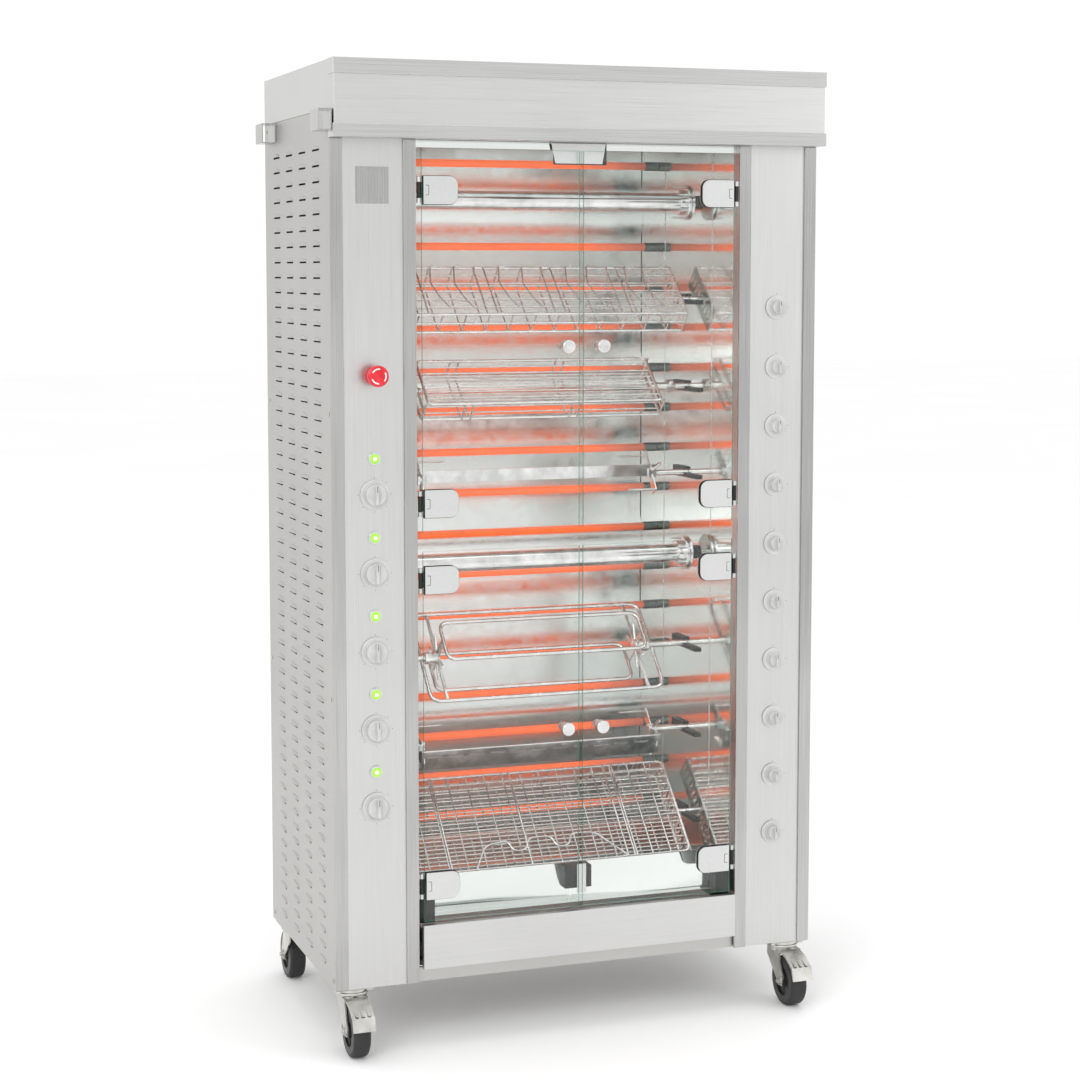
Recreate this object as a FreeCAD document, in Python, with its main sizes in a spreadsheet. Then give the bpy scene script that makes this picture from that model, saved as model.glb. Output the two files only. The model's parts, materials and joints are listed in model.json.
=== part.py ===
import FreeCAD, Part
import math
import os
import re
import Sketcher

# Floor-standing electric rotisserie: a stainless cabinet with eight driven spits behind four glass
# leaves. Millimetres. +X is the right-hand side as the cook sees it, the front faces -Y, +Z is up.
# The origin is on the floor, in the middle of the space that the whole machine takes up.

doc = FreeCAD.newDocument("Rotisserie")
sheet = doc.addObject("Spreadsheet::Sheet", "Dims")

DIMENSIONS = [
    ("Cabinet", [
        ("cabinet_width", 996, "outside of the side panels"),
        ("cabinet_depth", 530, "front face of the pillars to the back panel"),
        ("front_face_y", -252.6, "where the pillar fronts stand"),
        ("cabinet_foot", 130, "floor to the underside of the cabinet"),
        ("pillar_height", 1612, "cabinet underside to the hood skirt"),
        ("panel_height", 1665, "cabinet underside to the hood's side seam"),
        ("hood_top", 1886, "floor to the top of the hood"),
        ("sheet_wall", 1.5, "side, back and chamber sheet"),
        ("front_wall", 2, "pillar and hood sheet"),
        ("pan_lip", 27, "height of the base pan's folded edge"),
        ("seam_gap", 0.5, "shut line between neighbouring panels"),
        ("part_gap", 0.3, "air between pieces that only lie beside each other"),
        ("running_gap", 0.05, "radial clearance of a running fit"),
    ]),
    ("Front", [
        ("opening_half", 332, "middle to the inner edge of a pillar"),
        ("flange_depth", 24, "pillar sheet turned back into the opening"),
        ("trim_width", 25, "bright strips on the pillars"),
        ("trim_proud", 4, "bright strips in front of the pillar"),
        ("skirt_reach", 39, "hood face in front of the pillars"),
        ("band_top_height", 29, "upper bright band of the hood"),
        ("band_low_height", 25, "lower bright band of the hood"),
        ("band_side", 2, "bright band outside the cabinet side"),
        ("lintel_height", 14, "strip under the hood, over the doors"),
    ]),
    ("Louvres", [
        ("louvre_length", 54, "slot along the side"),
        ("louvre_height", 6, "slot opening"),
        ("louvre_row_pitch", 30, "between rows"),
        ("louvre_column_pitch", 108, "between columns"),
        ("louvre_first_depth", 74, "pillar front to the first slot"),
        ("louvre_first_height", 32, "cabinet underside to the lowest slot"),
        ("louvre_rows", 53, "rows of slots"),
        ("louvre_columns", 4, "columns of slots"),
    ]),
    ("Chamber", [
        ("chamber_bottom", 152, "floor to the lower edge of the chamber walls"),
        ("chamber_top", 1762, "floor to the ceiling"),
        ("reflector_depth", 511, "pillar front to the flat of the reflector"),
        ("reflector_step", 9, "fold of the reflector towards the food"),
        ("tube_radius", 8, "heating tube"),
        ("tube_depth", 424, "pillar front to the heating tubes"),
        ("tube_top", 1720, "floor to the highest heating tube"),
        ("tube_pitch", 86, "between heating tubes"),
        ("tube_count", 17, "heating tubes"),
    ]),
    ("Spits", [
        ("spit_depth", 252, "pillar front to the rod spits' axis"),
        ("spit_low", 355, "floor to the lowest spit axis"),
        ("spit_pitch", 180.7, "between spit axes"),
        ("tube_spit_depth", 206, "pillar front to the tube spits' axis"),
        ("tube_spit_lift", 17, "tube spits above their row"),
        ("rod_radius", 6, "spit rod"),
        ("rod_end", 345, "middle to either end of a rod"),
        ("load_half", 305, "middle to the end plates of the long spits"),
        ("short_load_half", 261, "middle to the ends of the short basket and of the bars"),
        ("cradle_half", 255, "middle to the end of the large cradle loop"),
        ("cradle_small_half", 219, "middle to the end of the small cradle loops"),
        ("tube_spit_radius", 19, "polished carrying tube"),
        ("collar_radius", 36, "collar at the end of the carrying tube"),
        ("collar_width", 15, "collar"),
        ("bearing_length", 124, "black bearing block, front to back"),
        ("bearing_height", 22, "bearing block"),
        ("bearing_width", 7, "bearing block in front of the wall"),
        ("wire", 5, "basket frame wire"),
        ("mesh_wire", 3, "basket mesh wire"),
        ("cradle_wire", 8, "cradle wire"),
        ("cradle_width", 222, "large cradle loop"),
        ("cradle_small", 98, "small cradle loops"),
        ("cradle_rise", 55, "small loops away from the large one"),
    ]),
    ("Doors", [
        ("glass_thickness", 6, "toughened glass"),
        ("hinge_x", 326, "middle to the hinge axis"),
        ("glass_edge_gap", 5, "hinge axis to the edge of the glass"),
        ("leaf_gap_half", 4, "middle to the free edge of a leaf"),
        ("upper_leaf_low", 1002, "floor to the lower edge of an upper leaf"),
        ("upper_leaf_top", 1726, "floor to its upper edge"),
        ("lower_leaf_low", 249, "floor to the lower edge of a lower leaf"),
        ("lower_leaf_top", 966, "floor to its upper edge"),
        ("clamp_length", 67, "hinge clamp along the glass"),
        ("clamp_height", 53, "hinge clamp"),
        ("clamp_start", 8, "hinge axis to the clamp plate"),
        ("clamp_plate", 3, "thickness of a clamp plate"),
        ("barrel_radius", 4, "hinge barrel"),
        ("barrel_height", 30, "hinge barrel"),
        ("pin_radius", 2.5, "hinge pin"),
        ("knuckle_height", 9, "fixed knuckle above and below a barrel"),
        ("pull_x", 36, "middle to a door pull"),
        ("pull_radius", 13, "door pull"),
        ("pull_length", 28, "door pull in front of the glass"),
        ("pull_stem", 4, "radius of the stem through the glass"),
        ("upper_pull_z", 1353, "floor to the upper pulls"),
        ("lower_pull_z", 610, "floor to the lower pulls"),
    ]),
    ("Controls", [
        ("control_x", 415, "middle to the line of controls"),
        ("knob_top", 1078, "floor to the highest heat knob"),
        ("knob_pitch", 149.3, "between heat knobs"),
        ("dial_radius", 29, "dial skirt of a heat knob"),
        ("grip_radius", 21, "body of a heat knob"),
        ("grip_depth", 12, "body of a heat knob in front of its skirt"),
        ("lamp_lift", 67.7, "lamp above its knob"),
        ("lamp_radius", 12.5, "lamp bezel"),
        ("lamp_stem", 8, "lamp barrel behind the bezel"),
        ("switch_top", 1425, "floor to the highest spit switch"),
        ("switch_pitch", 118, "between spit switches"),
        ("switch_dial", 24, "skirt of a spit switch"),
        ("switch_grip", 14, "body of a spit switch"),
        ("skirt_thickness", 3, "skirt of a knob or switch"),
        ("shaft_radius", 4, "shaft of a knob or switch"),
        ("shaft_length", 30, "shaft behind the pillar face"),
        ("stop_z", 1302, "floor to the emergency stop"),
        ("stop_radius", 20, "mushroom head"),
        ("stop_head", 14, "thickness of the mushroom head"),
        ("stop_proud", 36, "front of the head in front of the pillar"),
        ("stop_stem", 11, "radius of the stem"),
    ]),
    ("Drawer", [
        ("drawer_half", 327, "middle to the side of the drawer front"),
        ("drawer_low", 159, "floor to the lower edge of the front"),
        ("drawer_top", 245, "floor to its upper edge"),
        ("drawer_proud", 18, "front in front of the pillars"),
        ("pan_half", 312, "middle to the side of the pan"),
        ("pan_low", 163, "floor to the underside of the pan"),
        ("pan_top", 222, "floor to the rim of the pan"),
        ("pan_length", 440, "pan behind the pillar front"),
    ]),
    ("Casters", [
        ("caster_x", 458, "middle to a swivel axis"),
        ("caster_trail", 36, "swivel axis to the wheel axle"),
        ("front_swivel_depth", 36, "pillar front to the front swivel axes"),
        ("rear_swivel_depth", 483, "pillar front to the rear swivel axes"),
        ("wheel_radius", 50, "caster wheel"),
        ("wheel_width", 34, "caster wheel"),
        ("fork_gap", 38, "between the fork legs"),
        ("fork_width", 44, "across the fork legs"),
        ("fork_top", 125.7, "floor to the top of the fork"),
        ("head_radius", 30, "swivel head"),
        ("axle_radius", 4, "wheel axle"),
        ("king_pin", 6, "radius of the swivel pin"),
        ("plate_low", 126, "floor to the underside of a top plate"),
        ("plate_side", 76, "top plate"),
        ("pedal_pin", 2, "radius of the brake pedal's pin"),
        ("pedal_barrel", 4, "radius of the rolled edge round that pin"),
        ("pedal_z", 109, "floor to the pedal's pin"),
    ]),
    ("Side sleeves", [
        ("sleeve_reach", 28, "sleeve outside the cabinet side"),
        ("sleeve_height", 40, "sleeve"),
        ("sleeve_length", 60, "sleeve, front to back"),
        ("sleeve_wall", 2, "sleeve strap"),
        ("sleeve_low", 1754, "floor to the underside of a sleeve"),
        ("front_sleeve_depth", -32, "pillar front to the front sleeve"),
        ("rear_sleeve_depth", 430, "pillar front to the rear sleeve"),
    ]),
]

ALIASES = []
row = 1
for group, sizes in DIMENSIONS:
    sheet.set(f"A{row}", group)
    row += 1
    for alias, value, meaning in sizes:
        sheet.set(f"A{row}", alias)
        sheet.set(f"B{row}", str(value))
        sheet.set(f"C{row}", meaning)
        sheet.setAlias(f"B{row}", alias)
        ALIASES.append(alias)
        row += 1
doc.recompute()

ALIAS_WORD = re.compile(r"\b(" + "|".join(sorted(ALIASES, key=len, reverse=True)) + r")\b")
EXPORTS = []

ALONG_X = FreeCAD.Rotation(FreeCAD.Vector(0, 1, 0), 90)
ALONG_Y = FreeCAD.Rotation(FreeCAD.Vector(1, 0, 0), -90)
ALONG_Z = FreeCAD.Rotation()


def dim(alias):
    """The plain number in the cell that has this alias."""
    return float(sheet.get(alias))


def linked(text):
    """An expression written with bare aliases, with each alias pointing at its cell."""
    return ALIAS_WORD.sub(r"Dims.\1", str(text))


def behind(depth):
    """The y of a plane that lies depth behind the pillar fronts."""
    return f"(front_face_y + ({depth}))"


def mirrored(side, text):
    """The x of something that lies text away from the middle, on the left (-1) or right (1)."""
    return f"({side} * ({text}))"


def put(obj, x, y, z):
    for axis, text in (("x", x), ("y", y), ("z", z)):
        obj.setExpression(f".Placement.Base.{axis}", linked(text))
    return obj


def box(name, x, y, z):
    """A block between two planes on each axis; the planes may be given in either order on X."""
    obj = doc.addObject("Part::Box", name)
    low_x, high_x = x
    obj.setExpression("Length", linked(f"abs(({high_x}) - ({low_x}))"))
    obj.setExpression("Width", linked(f"({y[1]}) - ({y[0]})"))
    obj.setExpression("Height", linked(f"({z[1]}) - ({z[0]})"))
    return put(obj, f"min({low_x}; {high_x})", y[0], z[0])


def rod(name, radius, length, x, y, z, turn):
    """A cylinder that starts at x, y, z and runs along turn's axis."""
    obj = doc.addObject("Part::Cylinder", name)
    obj.setExpression("Radius", linked(radius))
    obj.setExpression("Height", linked(length))
    obj.Placement = FreeCAD.Placement(FreeCAD.Vector(), turn)
    return put(obj, x, y, z)


def joined(name, pieces):
    obj = doc.addObject("Part::MultiFuse", name)
    obj.Shapes = pieces
    return obj


def less(name, base, tools):
    """base with every tool cut out of it."""
    obj = doc.addObject("Part::Cut", name)
    obj.Base = base
    obj.Tool = tools[0] if len(tools) == 1 else joined(name + "_tools", tools)
    return obj


def group(name, pieces):
    """Separate solids that share one node."""
    obj = doc.addObject("Part::Compound", name)
    obj.Links = pieces
    return obj


def node(obj, label):
    obj.Label = label
    EXPORTS.append(obj)
    return obj


def origin_plane(body, role):
    return next(f for f in body.Origin.OriginFeatures if f.Role == role)


def new_sketch(body, name, role):
    sketch = body.newObject("Sketcher::SketchObject", name)
    sketch.AttachmentSupport = (origin_plane(body, role), [""])
    sketch.MapMode = "FlatFace"
    return sketch


def polygon(sketch, name, corners):
    """A closed outline through corners, each held by two distances from the origin."""
    first = sketch.GeometryCount
    count = len(corners)
    places = [(sheet_value(u), sheet_value(v)) for u, v in corners]
    for i in range(count):
        start = FreeCAD.Vector(*places[i], 0)
        end = FreeCAD.Vector(*places[(i + 1) % count], 0)
        sketch.addGeometry(Part.LineSegment(start, end))
    for i in range(count):
        sketch.addConstraint(Sketcher.Constraint("Coincident", first + i, 2, first + (i + 1) % count, 1))
    for i, (u, v) in enumerate(corners):
        for kind, text, value in (("DistanceX", u, places[i][0]), ("DistanceY", v, places[i][1])):
            index = sketch.addConstraint(Sketcher.Constraint(kind, -1, 1, first + i, 1, value))
            label = f"{name}_{i}_{kind[-1]}"
            sketch.renameConstraint(index, label)
            sketch.setExpression(f"Constraints.{label}", linked(text))


def rectangle(sketch, name, u, v):
    polygon(sketch, name, [(u[0], v[0]), (u[1], v[0]), (u[1], v[1]), (u[0], v[1])])


def sheet_value(text):
    """What an expression with bare aliases comes to, read from the sheet."""
    probe = doc.getObject("Probe") or doc.addObject("App::FeaturePython", "Probe")
    if not hasattr(probe, "Value"):
        probe.addProperty("App::PropertyFloat", "Value")
    probe.setExpression("Value", linked(text))
    probe.recompute()
    value = probe.Value
    probe.setExpression("Value", None)
    return value


SIDES = (("left", -1), ("right", 1))
PANEL_TOP = "(cabinet_foot + panel_height)"
SKIRT_LOW = "(cabinet_foot + pillar_height)"
BACK_INSIDE = behind("cabinet_depth - sheet_wall")
SIDE_INSIDE = "(cabinet_width / 2 - sheet_wall)"


# ---------------------------------------------------------------- cabinet sheets

def louvre_slots(name):
    """Every slot of one side as a single compound, drawn about x = 0 and through the sheet."""
    slots = doc.addObject("Part::Feature", name)
    blocks = []
    for column in range(int(dim("louvre_columns"))):
        y = dim("front_face_y") + dim("louvre_first_depth") + column * dim("louvre_column_pitch")
        for louvre_row in range(int(dim("louvre_rows"))):
            z = dim("cabinet_foot") + dim("louvre_first_height") + louvre_row * dim("louvre_row_pitch")
            blocks.append(Part.makeBox(6 * dim("sheet_wall"), dim("louvre_length"), dim("louvre_height"),
                                       FreeCAD.Vector(-3 * dim("sheet_wall"), y, z)))
    slots.Shape = Part.makeCompound(blocks)
    return slots


def side_panel(name, side):
    """A flat sheet with its columns of louvres."""
    sheet_blank = box(name + "Blank", (mirrored(side, SIDE_INSIDE), mirrored(side, "cabinet_width / 2")),
                      (behind("front_wall + seam_gap"), BACK_INSIDE), ("cabinet_foot", PANEL_TOP))
    slots = put(louvre_slots(name + "Slots"), mirrored(side, SIDE_INSIDE), "0", "0")
    return less(name, sheet_blank, [slots])


node(group("SidePanels", [side_panel("LeftSide", -1), side_panel("RightSide", 1)]), "side_panels")

gland_z = "cabinet_foot + 160"
back = box("BackSheet", (f"-{SIDE_INSIDE}", SIDE_INSIDE), (BACK_INSIDE, behind("cabinet_depth")),
           ("cabinet_foot", PANEL_TOP))
gland_hole = rod("GlandHole", "12.7", "sheet_wall * 3", "-380", behind("cabinet_depth - sheet_wall * 2"),
                 gland_z, ALONG_Y)
vents = [
    box(f"BackVent{i}", ("-150", "150"),
        (behind("cabinet_depth - sheet_wall * 2"), behind("cabinet_depth + 1")),
        (f"1400 + {40 * i}", f"1408 + {40 * i}"))
    for i in range(6)
]
back_cut = less("BackPanel", back, [gland_hole] + vents)
node(back_cut, "back_panel")


def base_frame():
    """A shallow folded pan with a top plate for each caster welded under its corners."""
    inside = f"({SIDE_INSIDE} - part_gap)"
    lip = "(cabinet_foot + pan_lip)"
    pan = box("Pan", (f"-{inside}", inside), (behind("6"), behind("cabinet_depth - sheet_wall - part_gap")),
              ("cabinet_foot", lip))
    hollow = box("PanHollow", (f"-{inside} + front_wall", f"{inside} - front_wall"),
                 (behind("6 + front_wall"), behind("cabinet_depth - sheet_wall - part_gap - front_wall")),
                 ("cabinet_foot + front_wall", f"{lip} + 1"))
    tray = less("PanTray", pan, [hollow])
    plates, bores = [], []
    for side_name, side in SIDES:
        for end in ("front", "rear"):
            x = mirrored(side, "caster_x")
            y = behind(f"{end}_swivel_depth")
            ahead, back = (30, 45) if end == "front" else (45, 30)
            plates.append(box(f"Plate_{side_name}_{end}", (f"{x} - plate_side / 2", f"{x} + plate_side / 2"),
                              (f"{y} - {ahead}", f"{y} + {back}"),
                              ("plate_low", "cabinet_foot + 8")))
            bores.append(rod(f"PlateBore_{side_name}_{end}", "king_pin + running_gap", "20", x, y,
                             "plate_low - 1", ALONG_Z))
    return less("BaseFrame", joined("BaseWelded", [tray] + plates), bores)


node(base_frame(), "base_frame")


# ---------------------------------------------------------------- hood and bright trims

def hood_shell():
    """A cap over the cabinet with a skirt in front of the pillars, open underneath."""
    half = "cabinet_width / 2"
    cap = box("HoodCap", (f"-{half}", half), (behind("0"), behind("cabinet_depth")),
              (f"{PANEL_TOP} + seam_gap", "hood_top"))
    cap_hollow = box("HoodCapHollow", (f"-{half} + front_wall", f"{half} - front_wall"),
                     (behind("-1"), behind("cabinet_depth - front_wall")),
                     (PANEL_TOP, "hood_top - front_wall"))
    skirt = box("HoodSkirt", (f"-{half}", half), (behind("-skirt_reach"), behind("0")),
                (f"{SKIRT_LOW}", "hood_top"))
    skirt_hollow = box("HoodSkirtHollow", (f"-{half} + front_wall", f"{half} - front_wall"),
                       (behind("-skirt_reach + front_wall"), behind("1")),
                       (f"{SKIRT_LOW} + front_wall", "hood_top - front_wall"))
    slots = [
        box(f"HoodSlot{i}", ("-260", "260"), (behind(f"{150 + 30 * i}"), behind(f"{162 + 30 * i}")),
            ("hood_top - front_wall * 2", "hood_top + 1"))
        for i in range(8)
    ]
    shell = joined("HoodBlank", [cap, skirt])
    return less("HoodShell", shell, [cap_hollow, skirt_hollow] + slots)


node(hood_shell(), "hood_shell")


def hood_band(name, low, high):
    """A bright band round the hood's front and a little way along its sides."""
    half = "cabinet_width / 2"
    back_edge = behind("-part_gap")
    outer = box(name + "Outer", (f"-{half} - band_side", f"{half} + band_side"),
                (behind("-skirt_reach - trim_proud"), back_edge), (low, high))
    inner = box(name + "Inner", (f"-{half}", half), (behind("-skirt_reach"), behind("1")),
                (f"{low} - 1", f"{high} + 1"))
    return less(name, outer, [inner])


def pillar_trim(name, side, inner_edge):
    edge = mirrored(side, inner_edge)
    far = mirrored(side, f"{inner_edge} + trim_width")
    return box(name, (edge, far), (behind("-trim_proud"), behind("0")),
               ("cabinet_foot", f"{SKIRT_LOW} - part_gap"))


bright = [
    hood_band("TopBand", "hood_top - band_top_height", "hood_top"),
    hood_band("LowBand", SKIRT_LOW, f"{SKIRT_LOW} + band_low_height"),
]
for side_name, side in SIDES:
    bright.append(pillar_trim(f"InnerTrim_{side_name}", side, "opening_half"))
    bright.append(pillar_trim(f"OuterTrim_{side_name}", side, "cabinet_width / 2 - trim_width"))
node(group("BrightTrims", bright), "bright_trims")


# ---------------------------------------------------------------- pillars with their fixed hinge knuckles

LEAVES = {
    "upper": {"low": "upper_leaf_low", "top": "upper_leaf_top", "pull": "upper_pull_z", "inset": (55, 78)},
    "lower": {"low": "lower_leaf_low", "top": "lower_leaf_top", "pull": "lower_pull_z", "inset": (69, 55)},
}


def hinge_heights(level):
    """The middles of a leaf's two hinges."""
    leaf = LEAVES[level]
    return [f"({leaf['low']} + {leaf['inset'][0]})", f"({leaf['top']} - {leaf['inset'][1]})"]


def fixed_hinge(name, side, z):
    """A pin with a knuckle at each end, carried on two short arms from the pillar's flange."""
    x = mirrored(side, "hinge_x")
    half = "(barrel_height / 2 + part_gap)"
    pieces = [rod(name + "Pin", "pin_radius", f"2 * ({half} + knuckle_height)", x, behind("0"),
                  f"{z} - {half} - knuckle_height", ALONG_Z)]
    for end, low in (("Low", f"{z} - {half} - knuckle_height"), ("High", f"{z} + {half}")):
        pieces.append(rod(name + end, "barrel_radius", "knuckle_height", x, behind("0"), low, ALONG_Z))
        pieces.append(box(name + end + "Arm", (x, mirrored(side, "opening_half + 1")),
                          (behind("0"), behind("2.5")), (low, f"{low} + knuckle_height")))
    return pieces


def control_panel(name, side, holes):
    """A pillar: the front sheet, its inner flange, the shaft holes and the fixed hinge knuckles."""
    edge = mirrored(side, "opening_half")
    front = box(name + "Front", (edge, mirrored(side, "cabinet_width / 2")),
                (behind("0"), behind("front_wall")), ("cabinet_foot", f"{PANEL_TOP} - seam_gap"))
    flange = box(name + "Flange", (edge, mirrored(side, "opening_half + sheet_wall")),
                 (behind("0"), behind("flange_depth")),
                 ("cabinet_foot + pan_lip + 1", f"{PANEL_TOP} - seam_gap"))
    cutters = [
        rod(f"{name}Hole{i}", radius, "front_wall * 3", mirrored(side, "control_x"), behind("-front_wall"), z,
            ALONG_Y)
        for i, (radius, z) in enumerate(holes)
    ]
    sheet_part = less(name + "Sheet", joined(name + "Folded", [front, flange]), cutters)
    hinges = []
    for level in LEAVES:
        for i, z in enumerate(hinge_heights(level)):
            hinges += fixed_hinge(f"{name}_{level}_{i}_", side, z)
    return joined(name, [sheet_part] + hinges)


KNOB_COUNT = 5
SWITCH_COUNT = 10
knob_heights = [f"(knob_top - knob_pitch * {i})" for i in range(KNOB_COUNT)]
lamp_heights = [f"{z[:-1]} + lamp_lift)" for z in knob_heights]
switch_heights = [f"(switch_top - switch_pitch * {i})" for i in range(SWITCH_COUNT)]

left_holes = [("shaft_radius + running_gap", z) for z in knob_heights]
left_holes += [("lamp_stem + part_gap", z) for z in lamp_heights]
left_holes += [("stop_stem + running_gap", "stop_z")]
right_holes = [("shaft_radius + running_gap", z) for z in switch_heights]
node(control_panel("LeftPillar", -1, left_holes), "left_control_panel")
node(control_panel("RightPillar", 1, right_holes), "right_control_panel")

lamps = []
for i, z in enumerate(lamp_heights):
    x = mirrored(-1, "control_x")
    lamps.append(joined(f"Lamp{i}", [
        rod(f"LampBezel{i}", "lamp_radius", "3", x, behind("-3 - part_gap"), z, ALONG_Y),
        rod(f"LampLens{i}", "lamp_stem", "4", x, behind("-6 - part_gap"), z, ALONG_Y),
        rod(f"LampStem{i}", "lamp_stem", "35", x, behind("-1"), z, ALONG_Y),
    ]))
node(group("PilotLamps", lamps), "pilot_lamps")


# ---------------------------------------------------------------- chamber

SPITS = [
    ("spit_1_carrying_tube", "tube"), ("spit_2_hinged_basket", "basket"), ("spit_3_long_basket", "basket"),
    ("spit_4_angle_bar", "bar"), ("spit_5_carrying_tube", "tube"), ("spit_6_cradle", "cradle"),
    ("spit_7_trough_bar", "bar"), ("spit_8_flat_basket", "basket"),
]


def spit_axis(index):
    """Depth behind the pillar fronts, and height, of the axis of a spit counted from the top."""
    height = f"(spit_low + spit_pitch * {len(SPITS) - 1 - index})"
    if SPITS[index][1] == "tube":
        return behind("tube_spit_depth"), f"({height} + tube_spit_lift)"
    return behind("spit_depth"), height


def chamber_wall(name, side):
    inner = mirrored(side, "opening_half + sheet_wall + part_gap")
    outer = mirrored(side, "opening_half + 2 * sheet_wall + part_gap")
    wall = box(name, (inner, outer), (behind("8"), behind("reflector_depth - part_gap - sheet_wall * 2")),
               ("chamber_bottom + 10", "chamber_top - part_gap"))
    start = mirrored(side, "opening_half + 6") if side < 0 else mirrored(side, "opening_half")
    cutters = [
        rod(f"{name}Hole{i}", "rod_radius + 2", "6", start, *spit_axis(i), ALONG_X) for i in range(len(SPITS))
    ]
    return less(name + "Cut", wall, cutters)


def ceiling():
    half = "(opening_half + 2 * sheet_wall)"
    between = ("-opening_half + part_gap", "opening_half - part_gap")
    plate = box("CeilingPlate", (f"-{half}", half),
                (behind("flange_depth + 1"), behind("reflector_depth - 3")),
                ("chamber_top", "chamber_top + sheet_wall"))
    front = box("LintelFace", between, (behind("12"), behind("14")),
                (f"{SKIRT_LOW} - lintel_height", "chamber_top + sheet_wall"))
    shelf = box("LintelShelf", between,
                (behind("12"), behind("flange_depth + 3")), ("chamber_top", "chamber_top + sheet_wall"))
    return joined("Ceiling", [plate, front, shelf])


chamber_sheets = [chamber_wall("LeftWall", -1), chamber_wall("RightWall", 1), ceiling()]
node(group("ChamberLiner", chamber_sheets), "chamber_liner")


def reflector():
    """The back sheet, folded forward in a shallow step behind every second spit."""
    body = doc.addObject("PartDesign::Body", "Reflector")
    sketch = new_sketch(body, "ReflectorProfile", "YZ_Plane")
    flat = behind("reflector_depth")
    fold = behind("reflector_depth - reflector_step")
    front_line = [(flat, "chamber_bottom + 10")]
    for row_index in (6, 4, 2, 0):
        z = f"(spit_low + spit_pitch * {len(SPITS) - 1 - row_index})"
        front_line += [(flat, f"{z} - 42"), (fold, f"{z} - 22"), (fold, f"{z} + 42"), (flat, f"{z} + 62")]
    front_line.append((flat, "chamber_top - part_gap"))
    back_line = [(f"{y} + sheet_wall", z) for y, z in reversed(front_line)]
    polygon(sketch, "sheet", front_line + back_line)
    pad = body.newObject("PartDesign::Pad", "ReflectorPad")
    pad.Profile = sketch
    pad.setExpression("Length", linked("2 * (opening_half + sheet_wall)"))
    pad.Midplane = True
    return body


node(reflector(), "back_reflector")


def deflectors():
    """Sloping sheets that lead the fat from the chamber's edges into the pan."""
    across = ("-opening_half + 38", "opening_half - 38")
    front = box("FrontDeflector", across, (behind("44"), behind("45.5")), ("pan_top + 30", "pan_top + 104"))
    foot = box("FrontDeflectorFoot", across, (behind("20"), behind("45.5")),
               ("pan_top + 28.5", "pan_top + 30"))
    pieces = [joined("FrontDeflectorFolded", [foot, front])]
    body = doc.addObject("PartDesign::Body", "RearDeflector")
    sketch = new_sketch(body, "RearDeflectorProfile", "YZ_Plane")
    rear_y = behind("reflector_depth - reflector_step - 3")
    rim_y = behind("pan_length - 12")
    polygon(sketch, "sheet", [(rim_y, "pan_top + 5"), (rear_y, "pan_top + 58"), (rear_y, "pan_top + 60"),
                              (rim_y, "pan_top + 7")])
    pad = body.newObject("PartDesign::Pad", "RearDeflectorPad")
    pad.Profile = sketch
    pad.setExpression("Length", linked("2 * opening_half - 2"))
    pad.Midplane = True
    pieces.append(body)
    for side_name, side in SIDES:
        pieces.append(box(f"Runner_{side_name}",
                          (mirrored(side, "pan_half + 2"), mirrored(side, "opening_half - part_gap")),
                          (behind("10"), behind("pan_length")), ("cabinet_foot + 28", "cabinet_foot + 30")))
    return pieces


node(group("Deflectors", deflectors()), "drip_deflectors")

tubes = [
    rod(f"Tube{i}", "tube_radius", "2 * (opening_half + 8)", "-opening_half - 8", behind("tube_depth"),
        f"tube_top - tube_pitch * {i}", ALONG_X)
    for i in range(int(dim("tube_count")))
]
for tube_wall in ("LeftWallCut", "RightWallCut"):
    wall = doc.getObject(tube_wall)
    side = -1 if tube_wall.startswith("Left") else 1
    start = mirrored(side, "opening_half + 6") if side < 0 else mirrored(side, "opening_half")
    holes = [
        rod(f"{tube_wall}Tube{i}", "tube_radius + part_gap", "6", start, behind("tube_depth"),
            f"tube_top - tube_pitch * {i}", ALONG_X)
        for i in range(int(dim("tube_count")))
    ]
    wall.Tool.Shapes = wall.Tool.Shapes + holes
node(group("HeatingTubes", tubes), "heating_tubes")


# ---------------------------------------------------------------- spit drive

def bearing(name, side, index):
    """A black block on the chamber wall that the rod turns in. The block of a rod spit is cut away in
    front of the rod and above it, so that the spit lifts out."""
    y, z = spit_axis(index)
    face = mirrored(side, "opening_half + sheet_wall - bearing_width")
    wall = mirrored(side, "opening_half + sheet_wall")
    bore_start = face if side > 0 else wall
    bore = rod(name + "Bore", "rod_radius + running_gap", "bearing_width + 1", f"{bore_start} - 0.5", y, z,
               ALONG_X)
    if SPITS[index][1] == "tube":
        block = rod(name + "Disc", "rod_radius + 8", "bearing_width", bore_start, y, z, ALONG_X)
    else:
        block = box(name + "Block", (face, wall), (f"{y} - bearing_length / 2", f"{y} + bearing_length / 2"),
                    (f"{z} - bearing_height / 2", f"{z} + bearing_height / 2"))
    cutters = [bore]
    if SPITS[index][1] != "tube":
        cutters.append(box(name + "Mouth", (face, wall), (f"{y} - bearing_length / 2 - 1", y),
                           (f"{z} - rod_radius / 3", f"{z} + bearing_height / 2 + 1")))
    return less(name, block, cutters)


bearings = [
    bearing(f"Bearing_{side_name}_{i}", side, i) for side_name, side in SIDES for i in range(len(SPITS))
]
node(group("SpitBearings", bearings), "spit_bearings")


def gear_motor(index):
    """Gearbox and motor behind the right-hand pillar, one for each spit."""
    y, z = spit_axis(index)
    gearbox = box(f"Gearbox{index}", ("rod_end + 3", "rod_end + 43"), (f"{y} - 30", f"{y} + 30"),
                  (f"{z} - 30", f"{z} + 30"))
    motor = rod(f"Motor{index}", "24", "70", "rod_end + 42", y, z, ALONG_X)
    return joined(f"GearMotor{index}", [gearbox, motor])


node(group("DriveMotors", [gear_motor(i) for i in range(len(SPITS))]), "drive_motors")


# ---------------------------------------------------------------- spits

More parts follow.
